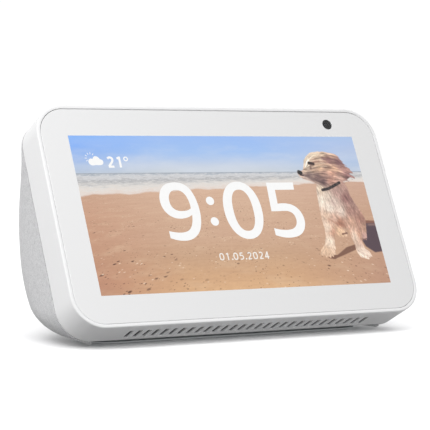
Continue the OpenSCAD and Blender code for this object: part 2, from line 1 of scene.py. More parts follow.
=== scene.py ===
"""Looks of the tabletop smart display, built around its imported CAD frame.

Lengths are in metres, with mm for readability. A point on the sloping front is given as
face(x, depth, v): x to the right, depth into the body square to the glass, and v up the slope
from the lower edge of the glass.
"""
import json
import math

import bmesh
import bpy
import numpy as np
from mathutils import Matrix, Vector


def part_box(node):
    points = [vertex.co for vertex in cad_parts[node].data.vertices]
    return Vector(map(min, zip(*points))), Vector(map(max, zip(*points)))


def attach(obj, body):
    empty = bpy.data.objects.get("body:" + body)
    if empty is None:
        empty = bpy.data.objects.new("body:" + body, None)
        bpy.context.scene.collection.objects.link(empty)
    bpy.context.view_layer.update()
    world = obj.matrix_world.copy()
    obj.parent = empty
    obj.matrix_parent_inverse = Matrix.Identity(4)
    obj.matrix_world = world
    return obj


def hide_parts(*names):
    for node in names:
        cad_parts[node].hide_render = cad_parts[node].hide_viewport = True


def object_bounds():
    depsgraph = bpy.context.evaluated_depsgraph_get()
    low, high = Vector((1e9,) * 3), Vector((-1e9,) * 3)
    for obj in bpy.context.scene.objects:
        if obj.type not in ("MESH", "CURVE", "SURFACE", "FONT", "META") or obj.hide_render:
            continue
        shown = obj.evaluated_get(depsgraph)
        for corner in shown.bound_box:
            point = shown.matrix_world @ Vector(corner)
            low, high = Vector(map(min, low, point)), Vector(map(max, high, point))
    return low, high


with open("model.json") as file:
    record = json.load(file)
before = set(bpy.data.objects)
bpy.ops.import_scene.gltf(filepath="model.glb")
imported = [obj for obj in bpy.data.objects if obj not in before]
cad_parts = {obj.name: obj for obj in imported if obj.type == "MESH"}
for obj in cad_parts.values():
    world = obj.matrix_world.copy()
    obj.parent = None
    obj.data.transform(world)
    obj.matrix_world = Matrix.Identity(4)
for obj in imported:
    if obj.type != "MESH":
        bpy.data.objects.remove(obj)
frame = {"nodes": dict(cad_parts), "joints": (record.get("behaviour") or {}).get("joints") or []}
CAD_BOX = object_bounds()
NODES = frame["nodes"]
MAIN = "main_body"
mm = 0.001

# ---------- sizes, the same as the CAD model's ----------
BODY_W = 148 * mm
FRAME_DEPTH = 14 * mm
FRAME_R = 12 * mm
FRAME_WALL = 2 * mm
LIP = 1.5 * mm
GLASS_W = 145 * mm
GLASS_H = 83.1 * mm
GLASS_R = FRAME_R - LIP
GLASS_FRONT = 0.15 * mm
GLASS_BACK = 1.25 * mm
GLASS_GAP = 0.15 * mm
LEDGE_FRONT = 1.75 * mm
LEDGE_BACK = 3.15 * mm
V_LOW = -LIP
V_HIGH = GLASS_H + LIP
SCREEN_W = 124.1 * mm
SCREEN_H = 62 * mm
SCREEN_FOOT = 10.4 * mm
CAMERA_X = 51.9 * mm
CAMERA_V = 77.7 * mm
CAMERA_R = 2.15 * mm
POCKET = 0.5 * mm  # Depth of the pocket in the glass that holds the picture
KEY_R = 3.5 * mm
KEY_X = [-26 * mm, -10 * mm, 6 * mm]
KEY_DEPTH = 7.85 * mm
KEY_PROUD = 0.25 * mm
KEY_RIM = 0.9 * mm
KEY_STEM_R = 1.25 * mm
KEY_STEM_V = 79.85 * mm
MIC_X = [-40 * mm, 25 * mm]
SLIDER_X = 44 * mm
SLIDER_L = 8 * mm
SLIDER_W = 3 * mm
SLIDER_DEPTH = 8.5 * mm
SHUTTER_TRAVEL = 5.5 * mm
SLOTS = 29
SLOT_PITCH = 3.6 * mm
SLOT_W = 1.6 * mm
SLOT_L = 6.8 * mm
SLOT_DEPTH = 4.9 * mm
SEAM_GAP = 0.4 * mm
FABRIC_T = 0.9 * mm
YARN = 0.62 * mm
PORT_X = 25.55 * mm
PORT_LOW = 4.95 * mm
PORT_HIGH = 18.55 * mm
HEM_Z = 1.0 * mm
HEEL_R = 29 * mm
HEEL_LOW = 1.08 * mm
UNDER_Z = 0.9 * mm
UNDER_REACH = 2.5 * mm
UNDER_IN = 0.5 * mm
BACK_POWER = 2.8
TINY = 0.002 * mm  # Inner radius of a turned shape, so that no face closes on the axis

# ---------- the sloping front's axes, taken from the key joint ----------
press = Vector(next(j for j in frame["joints"] if j["name"] == "mute_press")["axis"])
LEAN = math.atan2(-press.y, -press.z)
UP = Vector((0, math.sin(LEAN), math.cos(LEAN)))
INTO = Vector((0, math.cos(LEAN), -math.sin(LEAN)))
frame_low, frame_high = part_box("front_frame")
FACE_ORIGIN = Vector((0, frame_low.y + LIP * math.sin(LEAN),
                      frame_high.z - V_HIGH * math.cos(LEAN)))


def face(x, depth, v):
    return FACE_ORIGIN + Vector((x, 0, 0)) + INTO * depth + UP * v


# ---------- camera, first because everything is judged through it ----------
def add_camera():
    data = bpy.data.cameras.new("camera")
    data.lens = 147.05
    data.sensor_width = 36
    cam = bpy.data.objects.new("camera", data)
    bpy.context.scene.collection.objects.link(cam)
    cam.location = (-0.3367, -0.5773, 0.0696)
    look = Vector((0.5059, 0.8619, -0.0368))
    cam.rotation_euler = look.to_track_quat("-Z", "Y").to_euler()
    bpy.context.scene.camera = cam


add_camera()


# ---------- material helpers ----------
class Mat:
    """A node material with one Principled shader; each method adds a procedural layer."""

    def __init__(self, name, rough=0.5, **sockets):
        self.mat = bpy.data.materials.new(name)
        self.mat.use_nodes = True
        self.nodes = self.mat.node_tree.nodes
        self.links = self.mat.node_tree.links
        self.shader = next(n for n in self.nodes if n.type == "BSDF_PRINCIPLED")
        self.shader.inputs["Roughness"].default_value = rough
        for key, value in sockets.items():
            self.shader.inputs[key.replace("_", " ")].default_value = value
        self.coords = self.nodes.new("ShaderNodeTexCoord").outputs["Object"]

    def node(self, kind, **values):
        n = self.nodes.new("ShaderNode" + kind)
        for key, value in values.items():
            if hasattr(n, key):
                setattr(n, key, value)
            else:
                n.inputs[key.replace("_", " ")].default_value = value
        return n

    def link(self, a, b):
        self.links.new(a, b)

    def noise(self, scale, detail=4.0, rough=0.5, vector=None):
        n = self.node("TexNoise", Scale=scale, Detail=detail, Roughness=rough)
        self.link(vector or self.coords, n.inputs["Vector"])
        return n.outputs["Fac"]

    def ramp(self, fac, stops):
        n = self.node("ValToRGB")
        ramp = n.color_ramp
        while len(ramp.elements) < len(stops):
            ramp.elements.new(0.5)
        for element, (at, colour) in zip(ramp.elements, stops):
            element.position = at
            element.color = (*colour, 1)
        self.link(fac, n.inputs["Fac"])
        return n.outputs["Color"]

    def span(self, fac, low, high, out_low, out_high):
        n = self.node("MapRange")
        for i, value in enumerate((low, high, out_low, out_high), start=1):
            n.inputs[i].default_value = value
        self.link(fac, n.inputs[0])
        return n.outputs[0]

    def math(self, op, a, b=None, clamp=False):
        n = self.node("Math", operation=op)
        n.use_clamp = clamp
        for i, value in enumerate((a, b)):
            if value is None:
                continue
            if isinstance(value, (int, float)):
                n.inputs[i].default_value = value
            else:
                self.link(value, n.inputs[i])
        return n.outputs[0]

    def mix(self, fac, a, b):
        n = self.node("Mix", data_type="RGBA")
        for slot, value in ((0, fac), (6, a), (7, b)):
            if hasattr(value, "links") or hasattr(value, "is_linked"):
                self.link(value, n.inputs[slot])
            elif isinstance(value, tuple):
                n.inputs[slot].default_value = (*value, 1)
            else:
                n.inputs[slot].default_value = value
        return n.outputs[2]

    def colour(self, source):
        self.link(source, self.shader.inputs["Base Color"])
        return self

    def roughness(self, source):
        self.link(source, self.shader.inputs["Roughness"])
        return self

    def bump(self, height, strength, distance):
        n = self.node("Bump", Strength=strength, Distance=distance)
        self.link(height, n.inputs["Height"])
        self.link(n.outputs["Normal"], self.shader.inputs["Normal"])
        return self


def shade(rgb, k):
    return tuple(min(1.0, c * k) for c in rgb)


def plastic(name, rgb, rough, grain=0.02, coat=0.0):
    """Moulded plastic: faint colour drift, fine spark texture, uneven gloss."""
    m = Mat(name, rough=rough, Coat_Weight=coat, Coat_Roughness=0.08)
    m.colour(m.ramp(m.noise(18, 3), [(0.3, shade(rgb, 0.985)), (0.7, shade(rgb, 1.01))]))
    m.roughness(m.span(m.noise(60, 4), 0.3, 0.7, rough * 0.92, min(1, rough * 1.1)))
    m.bump(m.noise(2600, 2, 0.6), grain, 0.00004)
    return m.mat


def metal(name, rgb, rough):
    """Rolled steel or plated parts with a faint directional brush."""
    m = Mat(name, rough=rough, Metallic=1.0)
    stretch = m.node("Mapping")
    stretch.inputs["Scale"].default_value = (40, 2600, 2600)
    m.link(m.coords, stretch.inputs["Vector"])
    brush = m.noise(1.0, 3, 0.6, stretch.outputs[0])
    m.colour(m.ramp(m.noise(35, 3), [(0.3, shade(rgb, 0.9)), (0.7, shade(rgb, 1.05))]))
    m.roughness(m.span(brush, 0.3, 0.7, rough * 0.8, min(1, rough * 1.25)))
    m.bump(brush, 0.08, 0.00003)
    return m.mat


def rubber(name, rgb):
    m = Mat(name, rough=0.85)
    m.colour(m.ramp(m.noise(90, 4), [(0.35, shade(rgb, 0.93)), (0.7, shade(rgb, 1.05))]))
    m.roughness(m.span(m.noise(400, 3), 0.3, 0.7, 0.78, 0.93))
    m.bump(m.noise(1500, 3, 0.7), 0.15, 0.00006)
    return m.mat


def board(name, rgb):
    """Circuit board: solder mask with faint copper tracks below it."""
    m = Mat(name, rough=0.35)
    brick = m.node("TexBrick", Scale=150.0, Mortar_Size=0.012)
    brick.inputs["Color1"].default_value = (0, 0, 0, 1)
    brick.inputs["Color2"].default_value = (0.25, 0.25, 0.25, 1)
    brick.inputs["Mortar"].default_value = (1, 1, 1, 1)
    m.link(m.coords, brick.inputs["Vector"])
    m.colour(m.mix(m.math("MULTIPLY", brick.outputs["Color"], 0.5), rgb, shade(rgb, 1.9)))
    m.roughness(m.span(m.noise(120, 2), 0.3, 0.7, 0.3, 0.42))
    return m.mat


def film(name, rgb, rough=0.25):
    m = Mat(name, rough=rough)
    m.colour(m.ramp(m.noise(60, 3), [(0.3, shade(rgb, 0.92)), (0.7, shade(rgb, 1.06))]))
    m.roughness(m.span(m.noise(200, 2), 0.3, 0.7, rough * 0.8, rough * 1.2))
    return m.mat


# ---------- mesh helpers ----------
def bare_object(name, verts, faces, weld=False):
    """A mesh object without material or body; weld joins points in the same place."""
    mesh = bpy.data.meshes.new(name)
    mesh.from_pydata([tuple(v) for v in verts], [], faces)
    obj = bpy.data.objects.new(name, mesh)
    bpy.context.scene.collection.objects.link(obj)
    bm = bmesh.new()
    bm.from_mesh(mesh)
    if weld:
        bmesh.ops.remove_doubles(bm, verts=bm.verts, dist=1e-8)
    bmesh.ops.recalc_face_normals(bm, faces=bm.faces)
    bm.to_mesh(mesh)
    bm.free()
    return obj


def add_object(name, verts, faces, material, body=MAIN, slot=None, smooth=40):
    obj = bare_object(name, verts, faces, weld=True)
    dress(obj, material, body, slot, smooth)
    return obj


def dress(obj, material, body=MAIN, slot=None, smooth=40):
    obj.data.materials.clear()
    obj.data.materials.append(material)
    if smooth:
        obj.data.shade_smooth()
        obj.data.set_sharp_from_angle(angle=math.radians(smooth))
    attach(obj, body)


def apply_modifiers(obj):
    bpy.context.view_layer.update()
    evaluated = obj.evaluated_get(bpy.context.evaluated_depsgraph_get())
    mesh = bpy.data.meshes.new_from_object(evaluated)
    obj.modifiers.clear()
    old = obj.data
    obj.data = mesh
    bpy.data.meshes.remove(old)


def rounded_outline(x0, x1, y0, y1, r, steps=14):
    """Points round a rectangle with round corners, starting at the right of the lower edge."""
    points = []
    for cx, cy, a0 in ((x1 - r, y0 + r, -90), (x1 - r, y1 - r, 0), (x0 + r, y1 - r, 90),
                       (x0 + r, y0 + r, 180)):
        for i in range(steps + 1):
            a = math.radians(a0 + 90 * i / steps)
            points.append((cx + r * math.cos(a), cy + r * math.sin(a)))
    return points


def sweep_round_rect(profile, half_w, v0, v1, r, steps=14, closed=True):
    """Verts and faces of a profile of (inset, depth) swept round a rounded rectangle."""
    verts, faces = [], []
    for inset, depth in profile:
        ring = rounded_outline(-half_w + inset, half_w - inset, v0 + inset, v1 - inset,
                               max(r - inset, 0.3 * mm), steps)
        verts += [face(x, depth, v) for x, v in ring]
    n = 4 * (steps + 1)
    rows = len(profile)
    for j in range(rows if closed else rows - 1):
        for i in range(n):
            a, b = j * n + i, j * n + (i + 1) % n
            k = (j + 1) % rows
            faces.append((a, b, k * n + (i + 1) % n, k * n + i))
    return verts, faces


def circle(x, y, r, steps):
    return [(x + r * math.cos(a), y + r * math.sin(a))
            for a in np.linspace(0, 2 * math.pi, steps, endpoint=False)]


def fillet(cx, cy, r, a0, a1, steps=5):
    return [(cx + r * math.cos(math.radians(a0 + (a1 - a0) * i / steps)),
             cy + r * math.sin(math.radians(a0 + (a1 - a0) * i / steps)))
            for i in range(steps + 1)]


def cut(obj, cutters):
    """Boolean difference with each cutter; the cutters are removed."""
    for cutter in cutters:
        m = obj.modifiers.new("cut", "BOOLEAN")
        m.operation = "DIFFERENCE"
        m.solver = "EXACT"
        m.object = cutter
        apply_modifiers(obj)
        bpy.data.objects.remove(cutter)


def prism(outline, to_point, low, high):
    """Closed prism over an outline; to_point(a, b, h) places a point."""
    n = len(outline)
    verts = [to_point(a, b, low) for a, b in outline] + [to_point(a, b, high) for a, b in outline]
    faces = [tuple(range(n)), tuple(range(2 * n - 1, n - 1, -1))]
    faces += [(i, (i + 1) % n, n + (i + 1) % n, n + i) for i in range(n)]
    return verts, faces


def join_parts(parts):
    verts, faces = [], []
    for part_verts, part_faces in parts:
        base = len(verts)
        verts += list(part_verts)
        faces += [tuple(base + i for i in corners) for corners in part_faces]
    return verts, faces


def bevel_edges(obj, width, segments=2, angle=50):
    m = obj.modifiers.new("bevel", "BEVEL")
    m.width = width
    m.segments = segments
    m.limit_method = "ANGLE"
    m.angle_limit = math.radians(angle)
    m.harden_normals = True


# ---------- shared materials ----------
WHITE = (0.865, 0.865, 0.87)
white_plastic = plastic("white_plastic", WHITE, 0.52, 0.02)
key_plastic = plastic("key_plastic", shade(WHITE, 0.99), 0.36, 0.02)
grey_plastic = plastic("grey_plastic", (0.50, 0.52, 0.53), 0.5, 0.08)
black_plastic = plastic("black_plastic", (0.012, 0.012, 0.013), 0.45, 0.05)
steel = metal("steel", (0.60, 0.61, 0.63), 0.34)
copper = metal("copper", (0.72, 0.38, 0.18), 0.4)
ferrite = metal("ferrite", (0.10, 0.10, 0.105), 0.55)
soft_rubber = rubber("soft_rubber", (0.30, 0.305, 0.31))
foam = rubber("foam", (0.02, 0.02, 0.022))
green_board = board("green_board", (0.02, 0.11, 0.05))
ribbon = film("ribbon", (0.42, 0.20, 0.05))
clear_film = film("clear_film", (0.72, 0.77, 0.80), 0.2)
paper = rubber("paper", (0.025, 0.025, 0.027))
lens_glass = plastic("lens_glass", (0.010, 0.012, 0.018), 0.06, 0.0, 1.0)


# ---------- front frame ----------
def slot_prisms(margin, low, high):
    """A prism for each air slot, smaller all round by a margin, from low to high up the slope."""
    prisms = []
    for i in range(SLOTS):
        x = (i - (SLOTS - 1) / 2) * SLOT_PITCH
        outline = rounded_outline(x - SLOT_W / 2 + margin, x + SLOT_W / 2 - margin,
                                  SLOT_DEPTH + margin, SLOT_DEPTH + SLOT_L - margin,
                                  0.35 * mm - margin, 3)
        prisms.append(prism(outline, face, low, high))
    return prisms


def front_frame():
    edge = 0.45 * mm
    inner = 0.2 * mm
    lip_in = LIP - GLASS_GAP
    back_edge = 0.3 * mm
    profile = [(FRAME_WALL, FRAME_DEPTH), (back_edge, FRAME_DEPTH)]
    profile += fillet(back_edge, FRAME_DEPTH - back_edge, back_edge, 90, 180, 3)[1:]
    profile += [(0, FRAME_DEPTH - 1.2 * mm), (0, edge + 0.8 * mm)]
    profile += fillet(edge, edge, edge, 180, 270, 6)
    profile += fillet(lip_in - inner, inner, inner, 270, 360, 3)
    profile += [(lip_in, LEDGE_FRONT), (LIP + 2 * mm, LEDGE_FRONT), (LIP + 2 * mm, LEDGE_BACK),
                (FRAME_WALL, LEDGE_BACK)]
    verts, faces = sweep_round_rect(profile, BODY_W / 2, V_LOW, V_HIGH, FRAME_R)
    obj = bare_object("frame_shell", verts, faces)

    slots = slot_prisms(0, V_LOW - mm, V_LOW + FRAME_WALL + mm)
    holes = []
    low, high = V_HIGH - FRAME_WALL - mm, V_HIGH + mm
    for x, r in [(x, KEY_R + 0.15 * mm) for x in KEY_X] + [(x, 0.6 * mm) for x in MIC_X]:
        holes.append(prism(circle(x, KEY_DEPTH, r, 48), face, low, high))
    gap = 0.2 * mm
    outline = rounded_outline(SLIDER_X - SLIDER_L / 2 - gap,
                              SLIDER_X + SLIDER_L / 2 + SHUTTER_TRAVEL + gap,
                              SLIDER_DEPTH - SLIDER_W / 2 - gap,
                              SLIDER_DEPTH + SLIDER_W / 2 + gap, 1.2 * mm, 6)
    holes.append(prism(outline, face, low, high))
    cut(obj, [bare_object("cutter", *join_parts(slots)), bare_object("cutter", *join_parts(holes))])
    bevel_edges(obj, 0.12 * mm, 2, 60)
    dress(obj, white_plastic, MAIN, "white_plastic", 35)
    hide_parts("front_frame")


front_frame()


# ---------- cover glass ----------
def glass_material():
    """Back-printed white border under polished glass."""
    m = Mat("printed_glass", rough=0.25, Coat_Weight=1.0, Coat_Roughness=0.03, Coat_IOR=1.5)
    m.colour(m.ramp(m.noise(5, 1), [(0.2, (0.823, 0.823, 0.826)), (0.8, (0.827, 0.827, 0.83))]))
    m.roughness(m.span(m.noise(8, 2), 0.2, 0.8, 0.245, 0.255))
    return m.mat


def cover_glass():
    edge = 0.22 * mm
    profile = [(0, GLASS_BACK), (0, GLASS_FRONT + edge)]
    profile += fillet(edge, GLASS_FRONT + edge, edge, 180, 270, 4)[1:]
    profile += [(2 * mm, GLASS_FRONT)]
    verts, faces = sweep_round_rect(profile, GLASS_W / 2, 0, GLASS_H, GLASS_R, 14, closed=False)
    n = 4 * 15
    faces.append(tuple(range(n)))
    faces.append(tuple(range((len(profile) - 1) * n, len(profile) * n)))
    obj = bare_object("cover_glass", verts, faces)

    def place(a, b, h):
        return face(a, h, b)

    hole = prism(circle(CAMERA_X, CAMERA_V, CAMERA_R, 64), place, -mm, 3 * mm)
    half, low = SCREEN_W / 2, SCREEN_FOOT
    screen = [(-half, low), (half, low), (half, low + SCREEN_H), (-half, low + SCREEN_H)]
    pocket = prism(screen, place, -mm, POCKET)
    cut(obj, [bare_object("cutter", *hole), bare_object("cutter", *pocket)])
    flatten = obj.modifiers.new("normals", "WEIGHTED_NORMAL")
    flatten.keep_sharp = True
    flatten.weight = 100
    dress(obj, glass_material(), MAIN, "cover_glass", 35)
    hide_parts("front_glass")


cover_glass()


# ---------- camera behind the glass ----------
def turned(profile, to_point, steps=48):
    """Verts and faces of a closed (radius, height) profile turned round an axis."""
    verts = []
    for k in range(steps):
        a = 2 * math.pi * k / steps
        verts += [to_point(r * math.cos(a), r * math.sin(a), h) for r, h in profile]
    n = len(profile)
    faces = []
    for k in range(steps):
        for i in range(n):
            a, b = k * n + i, k * n + (i + 1) % n
            c, d = (k + 1) % steps * n + (i + 1) % n, (k + 1) % steps * n + i
            faces.append((a, b, c, d))
    return verts, faces


def camera_parts():
    def place(a, b, h):
        return face(CAMERA_X + a, h, CAMERA_V + b)

    r = CAMERA_R - 0.01 * mm
    ring = [(r - 0.2 * mm, 0.47 * mm), (r, 0.47 * mm), (r, 1.24 * mm), (r - 0.2 * mm, 1.24 * mm)]
    add_object("camera_ring", *turned(ring, place), black_plastic, MAIN, "black_plastic")
    clear = Mat("camera_glass", rough=0.02, IOR=1.5, Transmission_Weight=1.0)
    clear.colour(clear.ramp(clear.noise(40, 2), [(0.3, (0.88, 0.89, 0.91)),
                                                  (0.7, (0.91, 0.92, 0.94))]))
    low, high, edge = GLASS_FRONT, 0.45 * mm, 0.05 * mm
    disc = [(TINY, low), (r - edge, low), (r, low + edge), (r, high), (TINY, high)]
    add_object("camera_window", *turned(disc, place), clear.mat, MAIN, "cover_glass")


camera_parts()


# ---------- mesh behind the air slots, near black as painted shade of the slots' depth ---
def slot_shade_mesh():
    parts = slot_prisms(0.01 * mm, V_LOW + 0.5 * mm, V_LOW + 1.0 * mm)
    # Near-black colour: painted shade inside the slots, drawn as a fine mesh
    m = Mat("painted_slot_shade", rough=0.8)
    cells = m.node("TexVoronoi", feature="F1", Scale=4200.0)
    m.link(m.coords, cells.inputs["Vector"])
    m.colour(m.ramp(cells.outputs["Distance"], [(0.25, (0.012, 0.012, 0.013)),
                                                (0.6, (0.06, 0.06, 0.062))]))
    m.bump(cells.outputs["Distance"], 0.4, 0.0001)
    add_object("slot_shade_mesh", *join_parts(parts), m.mat, MAIN, "foam")


slot_shade_mesh()


# ---------- keys and shutter thumb ----------
def keys():
    """Round caps with a soft edge and a shallow dish, on the CAD keys' flange and stem."""
    top, flange = V_HIGH + KEY_PROUD, V_HIGH - FRAME_WALL - 0.1 * mm
    soft = 0.4 * mm
    for x, node, body in zip(KEY_X, ("mute_key", "volume_down_key", "volume_up_key"),
                             ("mute", "volume_down", "volume_up")):
        profile = [(TINY, top - 0.18 * mm), (1.4 * mm, top - 0.13 * mm),
                   (2.4 * mm, top - 0.02 * mm), (KEY_R - soft - 0.25 * mm, top)]
        profile += fillet(KEY_R - soft, top - soft, soft, 90, 0, 5)
        profile += [(KEY_R, flange), (KEY_R + KEY_RIM, flange),
                    (KEY_R + KEY_RIM, flange - 1.2 * mm), (KEY_STEM_R, flange - 1.2 * mm),
                    (KEY_STEM_R, KEY_STEM_V), (TINY, KEY_STEM_V)]

        def place(a, b, h, x=x):
            return face(x + a, KEY_DEPTH + b, h)

        obj = add_object("cap_" + node, *turned(profile, place),
                         key_plastic, body, "white_plastic", 35)
        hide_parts(node)


keys()


def key_marks():
    """Generic less and more signs, and a ring for the microphone, in shallow grey print."""
    grey = rubber("mark_print", (0.28, 0.285, 0.29))
    low, high = V_HIGH + KEY_PROUD - 0.2 * mm, V_HIGH + KEY_PROUD - 0.07 * mm

    def bar(x, half_a, half_b):
        outline = rounded_outline(x - half_a, x + half_a, KEY_DEPTH - half_b, KEY_DEPTH + half_b,
                                  0.1 * mm, 3)
        return prism(outline, face, low, high)

    ring = [(0.75 * mm, low), (0.75 * mm, high), (1.05 * mm, high), (1.05 * mm, low)]
    ring_mark = turned(ring, lambda a, b, h: face(KEY_X[0] + a, KEY_DEPTH + b, h))
    less = bar(KEY_X[1], 1.05 * mm, 0.15 * mm)
    more = join_parts([bar(KEY_X[2], 1.05 * mm, 0.15 * mm), bar(KEY_X[2], 0.15 * mm, 1.05 * mm)])
    for body, mark in (("mute", ring_mark), ("volume_down", less), ("volume_up", more)):
        add_object(body + "_mark", *mark, grey, body, "grey_plastic")


key_marks()


# ---------- the lit picture ----------
# All places on the screen are in millimetres, (across, up the slope), as on the real panel.
SHINE = 0.03


def screen_light(colour):
    """Light the screen must give for colours on the usual 0-255 scale, less the glass's shine."""
    c = np.asarray(colour, float) / 255
    light = np.where(c <= 0.04045, c / 12.92, ((c + 0.055) / 1.055) ** 2.4)
    return np.maximum(light - SHINE, 0.0)


def srgb(r, g, b):
    return tuple(float(c) for c in screen_light((r, g, b)))


def lit_material(name):
    """Black glossy surface whose colour all comes from the light behind it."""
    m = Mat(name, rough=0.25, Coat_Weight=1.0, Coat_Roughness=0.03, Coat_IOR=1.5)
    m.shader.inputs["Base Color"].default_value = (0.0, 0.0, 0.0, 1)
    m.shader.inputs["Emission Strength"].default_value = 1.0
    m.roughness(m.span(m.noise(40, 3), 0.3, 0.7, 0.22, 0.28))
    return m


HORIZON = 57.4
SKY = [
    [(57.4, (188, 201, 219)), (60, (180, 199, 229)), (63, (161, 190, 238)), (66, (147, 184, 243)),
     (69, (139, 182, 250)), (72, (136, 184, 252))],
    [(57.4, (207, 214, 221)), (60, (203, 213, 229)), (63, (182, 204, 237)), (66, (165, 197, 243)),
     (69, (161, 194, 244)), (72, (158, 192, 246))],
    [(57.4, (186, 200, 220)), (60, (181, 200, 227)), (63, (184, 202, 231)), (66, (185, 201, 230)),
     (69, (178, 198, 234)), (72, (174, 198, 234))],
]
SAND = [
    [(10, (198, 149, 122)), (16, (200, 149, 122)), (24, (202, 155, 127)), (32, (207, 161, 134)),
     (40, (211, 166, 139)), (50, (211, 171, 146))],
    [(10, (233, 189, 144)), (16, (220, 177, 137)), (24, (211, 173, 141)), (32, (217, 180, 153)),
     (40, (220, 184, 157)), (52, (226, 191, 166))],
    [(10, (196, 153, 129)), (16, (198, 156, 132)), (24, (202, 161, 135)), (32, (206, 166, 140)),
     (40, (209, 170, 144)), (54, (215, 177, 157))],
]
SEA = [(0.0, (230, 214, 204)), (0.12, (232, 222, 214)), (0.34, (224, 219, 214)),
       (0.48, (202, 200, 199)), (0.60, (180, 180, 182)), (0.72, (206, 206, 208)),
       (0.84, (210, 211, 214)), (0.93, (188, 193, 200)), (1.0, (168, 176, 186))]


def picture_material():
    """Blue sky, a grey sea with foam and a sandy beach, with the painted dog over it."""
    m = lit_material("beach_picture")
    split = m.node("SeparateXYZ")
    m.link(m.node("UVMap", uv_map="picture").outputs[0], split.inputs[0])
    across, up = split.outputs[0], split.outputs[1]

    def place(x, y):
        n = m.node("CombineXYZ")
        for i, value in enumerate((x, y)):
            m.link(value, n.inputs[i])
        return n.outputs[0]

    def scaled(value, k):
        return m.math("MULTIPLY", value, k)

    def columns(tables, low, high):
        """A colour from three upright ramps, at the left, the middle and the right."""
        height = m.span(up, low, high, 0, 1)
        ramps = [m.ramp(height, [((at - low) / (high - low), srgb(*rgb)) for at, rgb in table])
                 for table in tables]
        left = m.mix(m.span(across, -60, -25, 0, 1), ramps[0], ramps[1])
        return m.mix(m.span(across, 15, 60, 0, 1), left, ramps[2])

    # Sky, with thin cloud along the horizon
    sky = columns(SKY, HORIZON, 72.0)
    cloud = m.noise(1.0, 5, 0.6, place(scaled(across, 0.045), scaled(up, 0.16)))
    low_sky = m.span(up, HORIZON + 1, 71, 0.75, 0.12)
    veil = m.math("MULTIPLY", m.span(cloud, 0.45, 0.75, 0, 1), low_sky)
    sky = m.mix(veil, sky, srgb(214, 222, 235))

    # Sea: bands of foam between the horizon and a slanting water's edge
    edge = m.span(across, -62, 62, 49.0, 53.4)
    wobble = m.noise(1.0, 3, 0.5, place(scaled(across, 0.11), scaled(up, 0.2)))
    edge = m.math("ADD", edge, m.span(wobble, 0.3, 0.7, -0.5, 0.5))
    share = m.math("DIVIDE", m.math("SUBTRACT", up, edge), m.math("SUBTRACT", HORIZON, edge))
    chop = m.noise(1.0, 6, 0.7, place(scaled(across, 0.22), scaled(up, 1.3)))
    water = m.math("ADD", share, m.span(chop, 0.3, 0.7, -0.16, 0.16))
    sea = m.ramp(water, [(at, srgb(*rgb)) for at, rgb in SEA])
    spray = m.noise(1.0, 6, 0.75, place(scaled(across, 0.5), scaled(up, 3.0)))
    sea = m.mix(m.span(spray, 0.5, 0.66, 0, 0.8), sea, srgb(236, 235, 234))
    dark_line = m.span(m.math("SUBTRACT", HORIZON, up), 0.15, 0.5, 0.5, 0)
    sea = m.mix(dark_line, sea, srgb(140, 150, 164))

    # Sand: its grain and pebbles follow the ground away to the horizon
    far = m.math("DIVIDE", 46.0, m.math("MAXIMUM", m.math("SUBTRACT", HORIZON + 0.6, up), 2.0))
    sideways = m.math("MULTIPLY", across, far)
    wide = place(scaled(sideways, 0.45), scaled(far, 46.0))
    flat = place(scaled(sideways, 0.62), scaled(far, 46.0))
    sand = columns(SAND, 10.0, 54.0)
    lines = place(scaled(across, 0.06), scaled(up, 0.9))
    for fac, limits, rgb in (
            (m.noise(0.05, 5, 0.6, wide), (0.35, 0.65, 0.12, 0), (176, 132, 106)),
            (m.noise(0.12, 4, 0.6, wide), (0.5, 0.75, 0, 0.35), (236, 206, 174)),
            (m.noise(1.0, 4, 0.6, lines), (0.5, 0.7, 0, 0.16), (178, 136, 112)),
            (m.noise(0.8, 3, 0.8, wide), (0.3, 0.7, 0.16, 0), (150, 108, 86))):
        sand = m.mix(m.span(fac, *limits), sand, srgb(*rgb))
    groups = m.span(m.noise(0.06, 3, 0.6, wide), 0.42, 0.6, 0.15, 1)
    for scale, low, rgb in ((0.42, 0.80, (84, 56, 48)), (0.85, 0.74, (104, 70, 58)),
                            (0.7, 0.78, (246, 220, 194)), (1.3, 0.72, (112, 78, 64))):
        cells = m.node("TexVoronoi", feature="F1", Scale=scale)
        m.link(flat, cells.inputs["Vector"])
        channels = m.node("SeparateColor")
        m.link(cells.outputs["Color"], channels.inputs[0])
        chosen = m.math("GREATER_THAN", channels.outputs[0], low)
        pebble = m.math("MULTIPLY", m.span(cells.outputs["Distance"], 0.13, 0.27, 0.9, 0), groups)
        sand = m.mix(m.math("MULTIPLY", pebble, chosen), sand, srgb(*rgb))

    dry = m.span(share, -0.09, -0.01, 1, 0)
    beach = m.mix(dry, sea, sand)
    above = m.span(up, HORIZON - 0.15, HORIZON + 0.15, 0, 1)
    view = m.mix(above, beach, sky)

    paint = m.node("Attribute", attribute_name="paint")
    full = m.mix(paint.outputs["Alpha"], view, paint.outputs["Color"])
    m.link(full, m.shader.inputs["Emission Color"])
    return m.mat


